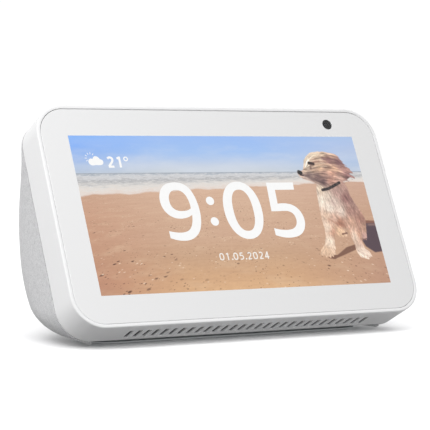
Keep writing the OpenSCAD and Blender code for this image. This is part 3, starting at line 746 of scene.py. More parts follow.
# ---------- the dog, painted stroke by stroke over a fine grid ----------
PITCH = 0.12
DOG_BOX = (30.0, 62.04, 19.0, 67.6)
DOG_COLUMNS = int(round((DOG_BOX[1] - DOG_BOX[0]) / PITCH)) + 1
DOG_ROWS = int(round((DOG_BOX[3] - DOG_BOX[2]) / PITCH)) + 1
HEAD = [(32.1, 56.7), (32.9, 57.9), (34.4, 57.7), (35.2, 58.4), (36, 60.3), (36.5, 62.2),
        (38.1, 64), (40.4, 65.3), (43.5, 65.9), (46.5, 65.8), (49.6, 65.3), (52.3, 64),
        (53.6, 62), (55, 60), (55.8, 58), (56.3, 56.1), (56, 54.7), (54.2, 53.8), (51.9, 53.4),
        (49.6, 52.6), (46.5, 50.9), (43.8, 49.7), (41.9, 49.7), (40.4, 51.3), (38.1, 53),
        (36.2, 53.8), (34.2, 54.3), (32.9, 55.3)]
BODY = [(39.6, 52), (38.8, 49.5), (38.4, 44.9), (38.1, 41.1), (37.9, 37.2), (38.1, 33.4),
        (37.7, 30.3), (36.5, 27.2), (34.3, 25), (33.5, 23.3), (35.4, 22.4), (38.1, 22),
        (40, 23), (40.6, 25.3), (41.5, 29.5), (42.5, 33.4), (43.1, 34.9), (44.2, 34.2),
        (46.5, 33.2), (49.2, 32.6), (49.4, 29.5), (50, 26.5), (50.2, 23.4), (51.4, 21.2),
        (54.2, 20.5), (56.4, 21.6), (55.8, 23.6), (54.2, 24.8), (53.7, 27.6), (54, 29.4),
        (55.4, 28.3), (56.6, 29.5), (57, 31.8), (57.7, 34.5), (58, 37.2), (56.9, 40.2),
        (55, 44.2), (53.8, 47.2), (53.3, 50.7), (51.9, 54)]
HIND_PAW = [(43, 33.6), (42.8, 31.6), (44, 30.2), (46.4, 30.3), (48.3, 30.9), (48, 32.4),
            (46, 33.6), (44, 34.6)]
# Coat colours at places on the dog
COAT = [
    ((38, 62.5), (244, 224, 200)), ((43, 64.8), (236, 212, 186)), ((50, 64.2), (205, 172, 150)),
    ((37.2, 60), (243, 222, 200)), ((40, 63.8), (242, 220, 196)), ((46, 64.8), (228, 200, 174)),
    ((48.5, 62.2), (160, 124, 116)), ((52.4, 61.2), (148, 112, 112)), ((46, 61), (186, 150, 132)),
    ((42, 61.4), (200, 164, 142)), ((43, 59), (226, 186, 156)), ((50, 58.9), (216, 174, 147)),
    ((55, 59.2), (176, 136, 126)), ((48, 56.6), (197, 152, 132)), ((55.3, 55.1), (150, 113, 111)),
    ((36.2, 58.2), (232, 202, 178)), ((37, 56), (150, 126, 120)), ((41, 54.9), (124, 100, 96)),
    ((43, 53), (112, 88, 88)), ((36, 54.3), (206, 182, 168)), ((46.5, 53.6), (186, 142, 127)),
    ((51.5, 55), (202, 163, 148)), ((40.5, 57.5), (190, 158, 140)), ((44, 56.5), (168, 134, 122)),
    ((41, 50), (236, 214, 190)), ((40.2, 45), (244, 228, 210)), ((43, 42), (240, 222, 206)),
    ((45.6, 44.4), (224, 200, 186)), ((47.6, 40.4), (236, 214, 198)), ((48, 48.6), (190, 156, 146)),
    ((43, 47), (236, 216, 198)),
    ((51.5, 46), (158, 118, 112)), ((52, 40.5), (178, 138, 126)), ((56, 37), (168, 126, 112)),
    ((56.4, 33), (190, 150, 130)), ((46, 35.8), (176, 128, 108)), ((43.6, 37.6), (216, 178, 158)),
    ((39.3, 34), (242, 216, 194)), ((39, 28.5), (244, 220, 198)), ((36, 23.8), (234, 198, 168)),
    ((42, 31.5), (205, 160, 136)), ((51.3, 30), (242, 214, 192)), ((53.4, 30.5), (214, 168, 144)),
    ((53, 22.8), (244, 220, 202)), ((44.6, 31.6), (232, 194, 160)), ((55.4, 29.8), (200, 160, 150)),
    ((51.5, 36), (206, 164, 142)), ((40.5, 38.5), (228, 196, 172)),
]
# Direction the hair lies, in degrees from rightwards
HAIR = [
    ((36.5, 60.5), 62), ((38.5, 64), 42), ((43, 65.7), 8), ((49, 65.3), -12), ((54, 62), -38),
    ((56, 59), -30), ((40, 59.5), 10), ((46, 62), 4), ((50, 60), -12), ((36, 57.3), -2),
    ((35, 55.2), -18), ((39, 54.2), -26), ((44, 56), -6), ((48, 55), 2), ((54, 55.6), -16),
    ((40, 48), 265), ((46, 47), 285), ((52, 48), 292), ((41, 42), 260), ((46, 41), 275),
    ((51, 43), 285), ((55, 40), 295), ((57, 36), 275), ((39, 35), 265), ((41, 30), 260),
    ((36, 25), 230), ((39, 24), 290), ((52, 32), 265), ((52, 27), 280), ((53, 22.5), 330),
    ((45, 36), 300), ((44, 31.5), 300),
]


# Brush strokes over the coat, in order: path, width, colour, strength, softness, and True where
# the stroke may reach past the outline
STROKES = [
    # Hair over the brow and cheek
    ([(39.4, 62.2), (44, 63.8), (49, 63.2)], 0.35, (168, 128, 108), 0.6, 0.35),
    ([(40.5, 60), (46, 60.6), (52.5, 59.8)], 0.6, (238, 204, 172), 0.55, 0.4),
    ([(38.8, 58), (45, 58.2), (53, 57.4)], 0.5, (240, 200, 168), 0.5, 0.35),
    ([(45.5, 62.9), (50, 62.6), (54.2, 60.6)], 0.9, (126, 92, 96), 0.65, 0.5),
    ([(47, 64.2), (51, 63.6), (54, 61.8)], 0.5, (150, 112, 108), 0.55, 0.4),
    ([(46, 61.4), (50, 61), (55.2, 58.6)], 0.5, (136, 100, 98), 0.5, 0.4),
    ([(49, 57), (53, 56), (56, 54.8)], 0.8, (130, 96, 92), 0.5, 0.5),
    ([(40, 55.8), (44, 54.8), (48, 55.4)], 0.7, (118, 94, 92), 0.55, 0.5),
    ([(35.4, 55.6), (38.6, 56.2), (41.6, 56.4)], 0.7, (120, 100, 98), 0.6, 0.4),
    ([(33.8, 54.8), (36.4, 54.2), (38.6, 53.4)], 0.35, (96, 76, 76), 0.5, 0.3),
    ([(38.7, 59.6), (38.5, 58.6)], 0.2, (128, 92, 80), 0.6, 0.25),
    # Nose
    ([(33.0, 57.2), (33.6, 56.9)], 1.8, (44, 38, 42), 1.0, 0.2, True),
    ([(33.4, 56.0), (34.6, 55.8)], 0.6, (66, 54, 56), 0.9, 0.25, True),
]
STROKES += [stroke for k in range(5) for stroke in (
    ([(34.6 + 0.8 * k, 56.0 - 0.5 * k), (38.4 + 1.2 * k, 55.2 - 0.6 * k)], 0.28,
     (104, 84, 84), 0.6, 0.3),
    ([(44.6 + 1.2 * k, 63.6 - 0.9 * k), (50 + 1.1 * k, 62.6 - 1.2 * k)], 0.26,
     (116, 84, 86), 0.5, 0.3),
    ([(39.4 + 0.4 * k, 64.4 - 1.2 * k), (44.4 + 0.5 * k, 65.2 - 1.4 * k)], 0.3,
     (250, 230, 206), 0.5, 0.35))]
STROKES += [
    # Eye
    ([(38.7, 61.0), (40.5, 60.7)], 1.3, (48, 34, 36), 1.0, 0.25),
    ([(39.3, 60.6), (38.9, 58.6)], 0.4, (112, 80, 74), 0.8, 0.3),
    ([(40.4, 61.4), (43.5, 61.9)], 0.5, (140, 104, 96), 0.6, 0.35),
    # Collar with its studs
    ([(41.7, 49.6), (44.6, 50.1), (46.8, 51), (50.4, 52.6)], 1.15, (54, 48, 50), 0.95, 0.15, True),
]
STROKES += [([stud], 0.14, (176, 170, 166), 0.8, 0.12, True)
            for stud in ((43.4, 49.9), (44.9, 50.2), (46.2, 50.8), (47.5, 51.4), (48.9, 52))]
STROKES += [
    # Chest folds, belly and leg edges
    ([(44.6, 45.2), (45.4, 43.2)], 0.3, (160, 128, 126), 0.6, 0.35),
    ([(45.6, 40.2), (47.6, 39.4)], 0.3, (168, 134, 122), 0.6, 0.3),
    ([(41, 37.4), (44, 35.6), (48, 34)], 0.5, (160, 108, 90), 0.55, 0.5),
    ([(54, 42), (53.6, 37), (54.1, 32)], 0.35, (120, 84, 78), 0.55, 0.4),
    ([(41, 36.6), (42.2, 33.4), (41.4, 29)], 0.3, (176, 128, 108), 0.55, 0.35),
    ([(49.4, 33.4), (49.9, 30)], 0.3, (176, 122, 100), 0.6, 0.35),
    ([(53.6, 33), (53.5, 28)], 0.3, (170, 118, 100), 0.5, 0.3),
]
# Gaps between the toes
STROKES += [([(u, 23.2), (u - 0.2, 22.5)], 0.12, (150, 108, 88), 0.6, 0.15)
            for u in (34.6, 35.9, 37.3)]
STROKES += [([(u, 21.9), (u, 21)], 0.12, (170, 126, 104), 0.6, 0.15)
            for u in (51.9, 53.1, 54.4)]
# Dark ground under the hind paws
STROKES += [([(45.6, 31), (47.8, 31.4)], 0.5, (92, 60, 52), 0.85, 0.3, True),
            ([(54.4, 28.4), (55.8, 28.7)], 0.4, (96, 64, 58), 0.8, 0.3, True)]


def spread(points, us, vs):
    """Values given at a few places, spread over the grid by closeness."""
    total = np.zeros(us.shape + (len(points[0][1]),))
    weights = np.zeros(us.shape)
    for (u, v), value in points:
        w = 1 / ((us - u) ** 2 + (vs - v) ** 2 + 0.15) ** 1.5
        total += w[..., None] * np.array(value, float)
        weights += w
    return total / weights[..., None]


def inside(outline, us, vs):
    """True where the grid lies within an outline, as 0.0 and 1.0."""
    result = np.zeros(us.shape, bool)
    for (u0, v0), (u1, v1) in zip(outline, outline[1:] + outline[:1]):
        if v0 == v1:
            continue
        crossing = (v0 > vs) != (v1 > vs)
        result ^= crossing & (us < u0 + (vs - v0) * (u1 - u0) / (v1 - v0))
    return result.astype(float)


def smoothed(field, times):
    for _ in range(times):
        wide = np.pad(field, 1, mode="edge")
        field = (field + wide[2:, 1:-1] + wide[:-2, 1:-1] + wide[1:-1, 2:] + wide[1:-1, :-2]) / 5
    return field


def hair(us, vs):
    """A walk along the hair, and fine, wide and short streaks of it."""
    rng = np.random.default_rng(7)
    headings = [((u, v), (math.cos(math.radians(a)), math.sin(math.radians(a))))
                for (u, v), a in HAIR]
    flow = spread(headings, us, vs)
    flow /= np.linalg.norm(flow, axis=2, keepdims=True) + 1e-6
    j0, i0 = np.mgrid[0:DOG_ROWS, 0:DOG_COLUMNS].astype(float)

    def along(field, length, way=-1.0):
        """Values of a field met when moving along the hair, one array for each step."""
        j, i = j0.copy(), i0.copy()
        for _ in range(int(length / PITCH)):
            a = np.clip(np.round(j).astype(int), 0, DOG_ROWS - 1)
            b = np.clip(np.round(i).astype(int), 0, DOG_COLUMNS - 1)
            yield field[a, b]
            j += way * flow[a, b, 1]
            i += way * flow[a, b, 0]

    def streaks(grain, length):
        field = smoothed(rng.random((DOG_ROWS, DOG_COLUMNS)), grain)
        field = (field - field.mean()) / field.std()
        total = sum(along(field, length)) + sum(along(field, length, 1.0))
        return total / total.std()

    return along, streaks(1, 1.1), streaks(7, 3.0), streaks(2, 0.5)


def dog_shadow(us, vs):
    """Colour and strength of the shadow on the sand, beside and under the dog."""
    cast = inside([(57, 36.6), (62.6, 36.2), (62.6, 23.4), (58.6, 23.0), (55, 25.6), (54, 28)],
                  us, vs)
    cast = smoothed(cast, 5) * 0.94
    stripe = 0.6 * np.exp(-((vs - 34.6) / 0.5) ** 2) * np.clip((us - 57.6) / 1.5, 0, 1)
    tone = np.full(us.shape + (3,), (76, 62, 76.0))
    for share, rgb in ((np.clip((vs - 34.9) / 0.6, 0, 1), (134, 92, 80.0)),
                       (stripe, (176, 140, 126.0))):
        tone = tone * (1 - share[..., None]) + np.array(rgb) * share[..., None]
    under = 0.85 * smoothed(inside([(38, 22.4), (41, 22.6), (46, 25.6), (50.2, 26.6), (50, 24.4),
                                    (44, 22.4), (39, 20.8), (36.2, 21.5)], us, vs), 3)
    colour = np.where((cast >= under)[..., None], tone, np.array((112, 74, 62.0)))
    return colour, np.maximum(cast, under)


def paint_dog():
    """Colour and cover of the dog over the grid DOG_BOX, in rows from its foot."""
    us, vs = np.meshgrid(DOG_BOX[0] + PITCH * np.arange(DOG_COLUMNS),
                         DOG_BOX[2] + PITCH * np.arange(DOG_ROWS))
    along, fine, wide, short = hair(us, vs)
    head = inside(HEAD, us, vs)
    body = np.maximum(inside(BODY, us, vs), inside(HIND_PAW, us, vs))
    on_head = smoothed(head, 10)
    strands = on_head * (0.6 * fine + 0.8 * wide) + (1 - on_head) * (0.5 * short + 0.5 * wide)
    colour = spread(COAT, us, vs) * (1 + (0.10 + 0.045 * on_head) * strands)[..., None]

    # Tips of hair reach past the outline, further on the head
    reach = np.where(vs > 52, 2.6, 0.7) * np.clip(0.35 + 0.45 * wide + 0.2 * fine, 0, 1)
    mask = smoothed(np.maximum(head, body), 1)
    cover = mask.copy()
    for step, seen in enumerate(along(mask, 2.6)):
        cover = np.maximum(cover, np.where(step * PITCH < reach, seen, 0))
    cover = smoothed(cover, 1)

    for path, width, rgb, strength, soft, *past_outline in STROKES:
        near = np.full(us.shape, 1e9)
        for (a0, b0), (a1, b1) in zip(path, path[1:] or path):
            du, dv = a1 - a0, b1 - b0
            t = np.clip(((us - a0) * du + (vs - b0) * dv) / max(du * du + dv * dv, 1e-9), 0, 1)
            near = np.minimum(near, np.hypot(us - a0 - t * du, vs - b0 - t * dv))
        w = strength * np.clip((width / 2 + soft - near) / (2 * soft), 0, 1)
        w *= np.clip(1 + 0.12 * fine, 0, 1.2)
        w = np.clip(w if past_outline else w * cover, 0, 1)
        colour = colour * (1 - w[..., None]) + np.array(rgb, float) * w[..., None]
        if past_outline:
            cover = np.maximum(cover, w)

    dark, ground = dog_shadow(us, vs)
    ground = ground * (1 - cover)
    total = cover + ground
    mixed = colour * cover[..., None] + dark * ground[..., None]
    mixed /= np.maximum(total, 1e-6)[..., None]
    return screen_light(np.clip(mixed, 0, 255)), total


def screen_picture():
    """A thin slab that holds the picture, its front a grid that is fine where the dog is."""
    half = SCREEN_W / 2 / mm
    foot, head = SCREEN_FOOT / mm, (SCREEN_FOOT + SCREEN_H) / mm
    left = list(np.linspace(-half, DOG_BOX[0], 24)[:-1])
    below = list(np.linspace(foot, DOG_BOX[2], 4)[:-1])
    xs = left + list(DOG_BOX[0] + PITCH * np.arange(DOG_COLUMNS))
    xs[-1] = half
    ys = below + list(DOG_BOX[2] + PITCH * np.arange(DOG_ROWS))
    ys += list(np.linspace(DOG_BOX[3], head, 3)[1:])
    nx, ny = len(xs), len(ys)

    front, back = GLASS_FRONT - 0.01 * mm, POCKET
    verts = [face(x * mm, front, y * mm) for y in ys for x in xs]
    faces = [(j * nx + i, j * nx + i + 1, (j + 1) * nx + i + 1, (j + 1) * nx + i)
             for j in range(ny - 1) for i in range(nx - 1)]
    rim = list(range(nx)) + [j * nx + nx - 1 for j in range(1, ny)]
    rim += [(ny - 1) * nx + i for i in range(nx - 2, -1, -1)]
    rim += [j * nx for j in range(ny - 2, 0, -1)]
    base, n = len(verts), len(rim)
    verts += [face(xs[k % nx] * mm, back, ys[k // nx] * mm) for k in rim]
    faces += [(rim[k], base + k, base + (k + 1) % n, rim[(k + 1) % n]) for k in range(n)]
    faces.append(tuple(base + k for k in range(n - 1, -1, -1)))
    obj = bare_object("screen_picture", verts, faces)
    mesh = obj.data

    light, cover = paint_dog()
    colours = np.zeros((ny, nx, 4), np.float32)
    rows = slice(len(below), len(below) + DOG_ROWS)
    colours[rows, len(left):, :3] = light
    colours[rows, len(left):, 3] = cover
    values = np.zeros((len(mesh.vertices), 4), np.float32)
    values[:base] = colours.reshape(-1, 4)
    attribute = mesh.color_attributes.new("paint", "FLOAT_COLOR", "POINT")
    attribute.data.foreach_set("color", values.ravel())

    places = [(xs[k % nx], ys[k // nx]) for k in [*range(base), *rim]]
    index = np.zeros(len(mesh.loops), np.int64)
    mesh.loops.foreach_get("vertex_index", index)
    layer = mesh.uv_layers.new(name="picture")
    layer.data.foreach_set("uv", np.array(places, np.float32)[index].ravel())
    dress(obj, picture_material(), MAIN, "lcd", 0)


screen_picture()


# ---------- figures and marks on the screen ----------
def flat_shape(loops, front, back):
    """Verts and faces of a flat shape from smooth loops of (x, y, sharp) in millimetres."""
    curve = bpy.data.curves.new("outline", "CURVE")
    curve.dimensions = "2D"
    curve.fill_mode = "BOTH"
    curve.resolution_u = 10
    curve.extrude = 0.5
    for loop in loops:
        spline = curve.splines.new("BEZIER")
        spline.bezier_points.add(len(loop) - 1)
        spline.use_cyclic_u = True
        for point, (x, y, *sharp) in zip(spline.bezier_points, loop):
            point.co = (x, y, 0)
            kind = "VECTOR" if sharp and sharp[0] else "AUTO"
            point.handle_left_type = point.handle_right_type = kind
    obj = bpy.data.objects.new("outline", curve)
    bpy.context.scene.collection.objects.link(obj)
    bpy.context.view_layer.update()
    mesh = bpy.data.meshes.new_from_object(obj.evaluated_get(bpy.context.evaluated_depsgraph_get()))
    verts = [face(v.co.x * mm, front if v.co.z > 0 else back, v.co.y * mm) for v in mesh.vertices]
    faces = [tuple(p.vertices) for p in mesh.polygons]
    bpy.data.objects.remove(obj)
    bpy.data.curves.remove(curve)
    bpy.data.meshes.remove(mesh)
    return verts, faces


def oval(x, y, rx, ry, power=2.0, steps=24):
    out = []
    for k in range(steps):
        a = 2 * math.pi * k / steps
        cx, cy = math.cos(a), math.sin(a)
        out.append((x + rx * math.copysign(abs(cx) ** (2 / power), cx),
                    y + ry * math.copysign(abs(cy) ** (2 / power), cy)))
    return out


def pen(points, width, closed=False):
    """Outline loops of a line of even width through smooth points."""
    n = len(points)
    sides = ([], [])
    for k, (x, y) in enumerate(points):
        before = points[(k - 1) % n if closed else max(k - 1, 0)]
        after = points[(k + 1) % n if closed else min(k + 1, n - 1)]
        dx, dy = after[0] - before[0], after[1] - before[1]
        d = math.hypot(dx, dy)
        for side, sign in zip(sides, (1, -1)):
            end = not closed and k in (0, n - 1)
            side.append((x - sign * dy / d * width / 2, y + sign * dx / d * width / 2, end))
    if closed:
        return [sides[0], sides[1]]
    return [sides[0] + sides[1][::-1]]


NINE = [[(-22.4, 53.4), (-19.5, 52.8), (-17.2, 51.0), (-15.8, 48.3), (-15.05, 45.2),
         (-14.8, 42), (-15.0, 39), (-15.65, 36.2), (-16.9, 33.6), (-18.8, 31.7), (-21.3, 30.5),
         (-24.2, 30.2), (-27, 30.55), (-29.5, 31.35, 1), (-29.5, 34.1, 1), (-27.4, 33.65),
         (-25, 33.4), (-22.8, 33.6), (-21.1, 34.3), (-19.9, 35.5), (-19.1, 37.1), (-18.6, 38.8),
         (-18.35, 40.35, 1), (-19.8, 39.6), (-21.6, 39.1), (-23.9, 38.95), (-26.6, 39.6),
         (-28.8, 41.3), (-30.05, 43.5), (-30.45, 46), (-30.1, 48.5), (-29, 50.8),
         (-27.1, 52.5), (-24.8, 53.25)],
        [(-22.6, 50.4), (-20.9, 49.9), (-19.6, 48.7), (-18.75, 46.9), (-18.3, 44.7),
         (-18.3, 42.9, 1), (-19.8, 42.2), (-21.7, 41.95), (-23.6, 42.05), (-25.2, 42.75),
         (-26.25, 44.1), (-26.6, 45.9), (-26.4, 47.7), (-25.6, 49.2), (-24.3, 50.15)]]
NOUGHT = [oval(3.9, 41.8, 8.2, 11.65, 2.15), oval(4.0, 41.8, 4.35, 8.4, 2.35)]
FIVE = [[(16.9, 52.9, 1), (28.95, 52.9, 1), (28.7, 49.9, 1), (20.05, 49.9, 1), (19.75, 44.15, 1),
         (21.8, 44.3), (24.1, 44.1), (26.4, 43.4), (28.3, 41.9), (29.5, 39.8), (29.95, 37.3),
         (29.5, 34.8), (28.2, 32.6), (26.2, 31.1), (23.8, 30.4), (21, 30.2), (18.2, 30.55),
         (15.5, 31.35, 1), (15.5, 34.2, 1), (17.4, 33.7), (19.6, 33.4), (22, 33.4), (24, 33.85),
         (25.5, 35), (26.25, 36.6), (26.25, 38.4), (25.5, 40), (23.9, 40.95), (22, 41.15),
         (19.4, 41.1), (16.2, 41.1, 1)]]
DOTS = [oval(-9.45, 45.8, 1.7, 1.7), oval(-9.45, 37.5, 1.7, 1.7)]

# Centre lines of small figures in a box 0.62 wide and 1 high
FIGURES = {
    "0": [[(0.31, 0.92), (0.14, 0.86), (0.06, 0.66), (0.06, 0.34), (0.14, 0.14), (0.31, 0.08),
           (0.48, 0.14), (0.56, 0.34), (0.56, 0.66), (0.48, 0.86)]],
    "1": [[(0.12, 0.82), (0.36, 0.92)], [(0.36, 1.0), (0.36, 0.5), (0.36, 0.0)]],
    "2": [[(0.08, 0.82), (0.2, 0.91), (0.34, 0.92), (0.48, 0.85), (0.52, 0.7), (0.46, 0.54),
           (0.3, 0.34), (0.1, 0.1)], [(0.06, 0.08), (0.3, 0.08), (0.58, 0.08)]],
    "4": [[(0.44, 1.0), (0.44, 0.5), (0.44, 0.0)], [(0.42, 0.96), (0.22, 0.6), (0.06, 0.28)],
          [(0.0, 0.28), (0.3, 0.28), (0.62, 0.28)]],
    "5": [[(0.52, 0.92), (0.32, 0.92), (0.14, 0.92)], [(0.16, 0.96), (0.14, 0.76), (0.12, 0.54)],
          [(0.1, 0.56), (0.28, 0.6), (0.44, 0.56), (0.54, 0.42), (0.54, 0.26), (0.44, 0.13),
           (0.26, 0.07), (0.08, 0.1)]],
}


def figure(name, x, y, height, width):
    """Loops of a small figure whose lower left corner is at x, y."""
    loops = []
    for line in FIGURES[name]:
        points = [(x + a * height, y + b * height) for a, b in line]
        loops.append(pen(points, width, name == "0"))
    return loops


def glow_material(name, rgb):
    """Bright figures of the display, very slightly uneven like real pixels."""
    m = lit_material(name)
    glow = m.ramp(m.noise(900, 2), [(0.3, shade(rgb, 0.97)), (0.7, rgb)])
    m.link(glow, m.shader.inputs["Emission Color"])
    return m.mat


def screen_marks():
    front, back = GLASS_FRONT - 0.04 * mm, GLASS_FRONT - 0.01 * mm
    white = glow_material("white_light", (0.96, 0.96, 0.955))
    soft = glow_material("soft_light", (0.90, 0.86, 0.81))

    def add(name, groups, material):
        verts, faces = join_parts([flat_shape(loops, front, back) for loops in groups])
        obj = bare_object(name, verts, faces)
        dress(obj, material, MAIN, "lcd", 30)

    add("clock_figures", [NINE, NOUGHT, FIVE] + [[d] for d in DOTS], white)
    cloud = [(-55.1, 60.6), (-55.9, 61.4), (-55.8, 62.6), (-54.9, 63.2), (-54.2, 63.1),
             (-53.6, 63.9), (-52.6, 64.1), (-51.6, 63.5), (-51.2, 62.95), (-50.4, 62.6),
             (-50.1, 61.7), (-50.5, 60.9), (-51.4, 60.6), (-53.2, 60.6)]
    rays = []
    for k in range(6):
        a = math.radians(52 + 32 * k)
        rays.append(pen([(-54.9 + r * math.cos(a), 63.4 + r * math.sin(a)) for r in (1.5, 2.3)],
                        0.22))
    ring = pen(oval(-40.75, 63.0, 0.72, 0.72, steps=12), 0.42, True)
    marks = [[cloud], ring] + rays + figure("2", -48.5, 59.6, 4.35, 0.85)
    marks += figure("1", -44.9, 59.6, 4.35, 0.85)
    add("weather_marks", marks, white)

    # A date in figures
    x, groups = -10.9, []
    for mark in "01.05.2024":
        if mark == ".":
            groups.append([oval(x + 0.25, 22.3, 0.32, 0.32, steps=10)])
            x += 0.95
        else:
            groups += figure(mark, x, 22.0, 2.9, 0.44)
            x += 2.5
    add("date_figures", groups, soft)


screen_marks()


# ---------- fabric back ----------
SIN, COS = math.sin(LEAN), math.cos(LEAN)
HEEL_Y = CAD_BOX[1][1] - HEEL_R
HEEL_Z = HEEL_LOW + HEEL_R


def seam_z(v, depth):
    return FACE_ORIGIN.z + v * COS - depth * SIN


def seam_y(z, depth):
    v = (z - FACE_ORIGIN.z + depth * SIN) / COS
    return FACE_ORIGIN.y + v * SIN + depth * COS


def ring_x(inset, v):
    r, low, high = FRAME_R - inset, V_LOW + inset, V_HIGH - inset
    k = max(low + r - v, v - high + r, 0)
    return BODY_W / 2 - inset - r + math.sqrt(max(r * r - k * k, 0))


def back_y(z, inset, top_y, top_z):
    if z < HEEL_Z:
        return HEEL_Y + math.sqrt(max((HEEL_R - inset) ** 2 - (HEEL_Z - z) ** 2, 0))
    middle = HEEL_Y + HEEL_R - inset
    return middle - (middle - top_y) * ((z - HEEL_Z) / (top_z - HEEL_Z)) ** BACK_POWER


def fullness(z):
    return max(1.9, 3.7 - ((z - HEEL_Z + 2 * mm) / (32 * mm)) ** 2)


def back_rows(inset, corner=12, side=30):
    r, low, high = FRAME_R - inset, V_LOW + inset, V_HIGH - inset
    rows = [low + r * (1 - math.cos(math.radians(90 * i / corner))) for i in range(corner + 1)]
    rows += [low + r + (high - low - 2 * r) * i / (side + 1) for i in range(1, side + 1)]
    rows += [high - r * (1 - math.sin(math.radians(90 * i / corner))) for i in range(corner + 1)]
    return rows


def belly_rows(inset, depth, steps=8):
    """Height, front line and half width of the levels that round off below the seam ring."""
    top = seam_z(V_LOW + inset, depth)
    rows = []
    for i in range(steps):
        a = math.radians(90 * i / steps)
        back = 1 - math.sin(a)
        rows.append((top - (top - UNDER_Z - inset * COS) * math.cos(a),
                     seam_y(top, depth) + UNDER_REACH * back,
                     BODY_W / 2 - FRAME_R - UNDER_IN * back))
    return rows


def back_grid(inset, depth, columns=160):
    """Rows of points over the back, inset from its outside, starting at a depth."""
    top_z = seam_z(V_HIGH - inset, depth)
    top_y = seam_y(top_z, depth)
    levels = belly_rows(inset, depth)
    for v in back_rows(inset):
        z = seam_z(v, depth)
        levels.append((z, seam_y(z, depth), ring_x(inset, v)))
    grid = []
    for z, y0, w in levels:
        reach = max(back_y(z, inset, top_y, top_z - 1e-6) - y0, 2e-5)
        p = 2 / fullness(z)
        row = []
        for i in range(columns + 1):
            a = math.pi * i / columns
            row.append(Vector((w * math.copysign(abs(math.cos(a)) ** p, math.cos(a)),
                               y0 + reach * abs(math.sin(a)) ** p, max(z, HEM_Z))))
        grid.append(row)
    return grid


def fabric_material():
    """Melange weave: light and grey yarns crossing, with pores between them darkened as painted
    shade.
    """
    m = Mat("fabric_weave", rough=0.9, Sheen_Weight=0.25, Sheen_Roughness=0.5)
    uv = m.node("UVMap", uv_map="weave").outputs[0]
    split = m.node("SeparateXYZ")
    m.link(uv, split.inputs[0])
    yarn = 2 * math.pi / YARN
    across = m.math("SINE", m.math("MULTIPLY", split.outputs[0], yarn))
    along = m.math("SINE", m.math("MULTIPLY", split.outputs[1], yarn))
    lift = m.span(m.math("MULTIPLY", across, along), -1, 1, 0, 1)
    pore_shade = m.math("MULTIPLY", m.math("ABSOLUTE", across), m.math("ABSOLUTE", along))
    yarns = m.noise(1900, 3, 0.7)
    patches = m.noise(420, 3, 0.7)
    base = m.ramp(yarns, [(0.30, (0.50, 0.50, 0.51)), (0.55, (0.72, 0.72, 0.73)),
                          (0.75, (0.88, 0.88, 0.89))])
    mottled = m.mix(m.span(patches, 0.35, 0.65, 0, 0.5), base, (0.82, 0.82, 0.83))
    # The pores take a dark grey: painted shade in the gaps between the yarns
    m.colour(m.mix(m.span(pore_shade, 0.0, 0.35, 0.4, 0), mottled, (0.26, 0.26, 0.27)))
    height = m.math("ADD", lift, m.math("MULTIPLY", yarns, 0.6))
    m.bump(height, 0.55, 0.00018)
    return m.mat


def fabric_cover():
    depth = FRAME_DEPTH + SEAM_GAP
    outer = back_grid(0, depth)
    inner = back_grid(FABRIC_T, depth)
    rows, n = len(outer), len(outer[0])
    verts = [p for row in outer for p in row] + [p for row in inner for p in row]
    base = rows * n
    faces = []
    for j in range(rows - 1):
        for i in range(n - 1):
            a = j * n + i
            faces.append((a, a + 1, a + n + 1, a + n))
            faces.append((base + a, base + a + n, base + a + n + 1, base + a + 1))
    # Edges, folded from the outer to the inner surface: sides first, then top and bottom
    for j in range(rows - 1):
        for a in (j * n, j * n + n - 1):
            faces.append((a, a + n, base + a + n, base + a))
    for i in range(n - 1):
        a = (rows - 1) * n + i
        faces.append((a, a + 1, base + a + 1, base + a))
        faces.append((i, base + i, base + i + 1, i + 1))
    obj = bare_object("fabric_skin", verts, faces)
    weave = obj.data.uv_layers.new(name="weave")
    middle = n // 2
    along = [[0.0] * n for _ in range(rows)]
    for j in range(rows):
        for i in range(middle + 1, n):
            along[j][i] = along[j][i - 1] + (outer[j][i] - outer[j][i - 1]).length
        for i in range(middle - 1, -1, -1):
            along[j][i] = along[j][i + 1] - (outer[j][i] - outer[j][i + 1]).length
    up = [0.0]
    for j in range(1, rows):
        up.append(up[-1] + (outer[j][middle] - outer[j - 1][middle]).length)
    for loop in obj.data.loops:
        k = loop.vertex_index % base
        j, i = divmod(k, n)
        weave.data[loop.index].uv = (along[j][i], up[j])
    # Opening for the port plate
    corners = [(-PORT_X, PORT_LOW), (PORT_X, PORT_LOW), (PORT_X, PORT_HIGH), (-PORT_X, PORT_HIGH)]
    opening = prism(corners, lambda a, b, h: (a, h, b), 18.5 * mm, 60 * mm)
    cut(obj, [bare_object("cutter", *opening)])
    dress(obj, fabric_material(), MAIN, "knit_fabric", 50)
    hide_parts("fabric_cover")


fabric_cover()


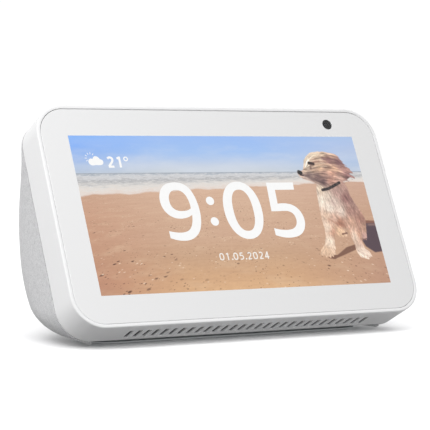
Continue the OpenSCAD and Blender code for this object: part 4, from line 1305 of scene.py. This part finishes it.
# ---------- CAD nodes that keep their shape ----------
def keep_nodes():
    looks = {
        grey_plastic: ["rear_housing", "speaker_grille", "port_plate", "base_plate",
                       "shutter_blade"],
        white_plastic: ["shutter_slider"],
        black_plastic: ["camera_module", "light_sensor", "board_chips", "power_socket",
                        "audio_socket", "speaker_box"],
        steel: ["backlight_tray", "mid_frame", "shield_can", "heat_spreader", "key_switches",
                "microphones", "speaker_basket", "usb_socket", "frame_screws",
                "housing_screws", "board_screws", "base_screws", "speaker_screws"],
        copper: ["wifi_antennas", "voice_coil"],
        ferrite: ["speaker_magnet"],
        soft_rubber: ["rubber_foot", "speaker_surround"],
        foam: ["glass_gasket", "microphone_gaskets", "speaker_gasket"],
        green_board: ["main_board", "key_board", "port_board"],
        ribbon: ["display_flex", "camera_flex", "port_flex", "speaker_wires"],
        clear_film: ["touch_sensor", "light_guide", "display_panel"],
        lens_glass: ["camera_lens"],
        paper: ["speaker_cone", "dust_cap"],
    }
    for material, names in looks.items():
        for name in names:
            node = NODES[name]
            node.data.materials.clear()
            node.data.materials.append(material)
    for name, width in (("shutter_slider", 0.15), ("port_plate", 0.25), ("base_plate", 0.15),
                        ("rubber_foot", 0.1), ("audio_socket", 0.2), ("power_socket", 0.2),
                        ("usb_socket", 0.1), ("camera_module", 0.15)):
        bevel_edges(NODES[name], width * mm, 2, 40)


keep_nodes()


# ---------- floor, light and view ----------
def studio():
    scene = bpy.context.scene
    scene.view_settings.view_transform = "Standard"
    world = bpy.data.worlds.new("world")
    scene.world = world
    world.use_nodes = True
    nodes, links = world.node_tree.nodes, world.node_tree.links
    # White round the horizon, dimmer overhead and dark below
    split = nodes.new("ShaderNodeSeparateXYZ")
    links.new(nodes.new("ShaderNodeTexCoord").outputs["Generated"], split.inputs[0])
    both = nodes.new("ShaderNodeMath")
    both.operation = "MULTIPLY"
    links.new(both.outputs[0], nodes["Background"].inputs["Strength"])
    for socket, stops in zip(both.inputs, ((0.12, 0.5, 1.02, 0.6), (-0.12, -0.05, 0.27, 1.0))):
        fade = nodes.new("ShaderNodeMapRange")
        for i, value in enumerate(stops, start=1):
            fade.inputs[i].default_value = value
        links.new(split.outputs[2], fade.inputs[0])
        links.new(fade.outputs[0], socket)
    nodes["Background"].inputs["Color"].default_value = (1, 1, 1, 1)

    verts, faces = prism([(-4, -4), (4, -4), (4, 4), (-4, 4)], lambda a, b, h: (a, b, h),
                         -0.01, 0)
    floor = bare_object("floor", verts, faces)
    m = Mat("floor", rough=0.9)
    m.colour(m.ramp(m.noise(3, 2), [(0.3, (0.93, 0.93, 0.935)), (0.7, (0.95, 0.95, 0.955))]))
    floor.data.materials.append(m.mat)
    # The floor throws no light back up, so the underside of the body stays dark
    floor.visible_diffuse = False

    def lamp(name, kind, place, target, **values):
        data = bpy.data.lights.new(name, kind)
        for key, value in values.items():
            setattr(data, key, value)
        light = bpy.data.objects.new(name, data)
        scene.collection.objects.link(light)
        light.location = place
        way = Vector(target) - Vector(place)
        light.rotation_euler = way.to_track_quat("-Z", "Y").to_euler()
        return light

    lamp("ceiling", "SUN", (0.1, 0.0, 1.5), (0, 0, 0), energy=0.75, angle=1.4)
    lamp("key", "AREA", (-0.42, -0.26, 0.38), (0, 0, 0.05), energy=1.6, size=0.3)
    wash = lamp("floor_wash", "SUN", (-0.15, -1.0, 0.6), (0, 0, 0), energy=2.5, angle=1.2)
    table_only = bpy.data.collections.new("table_only")
    table_only.objects.link(floor)
    wash.light_linking.receiver_collection = table_only


studio()
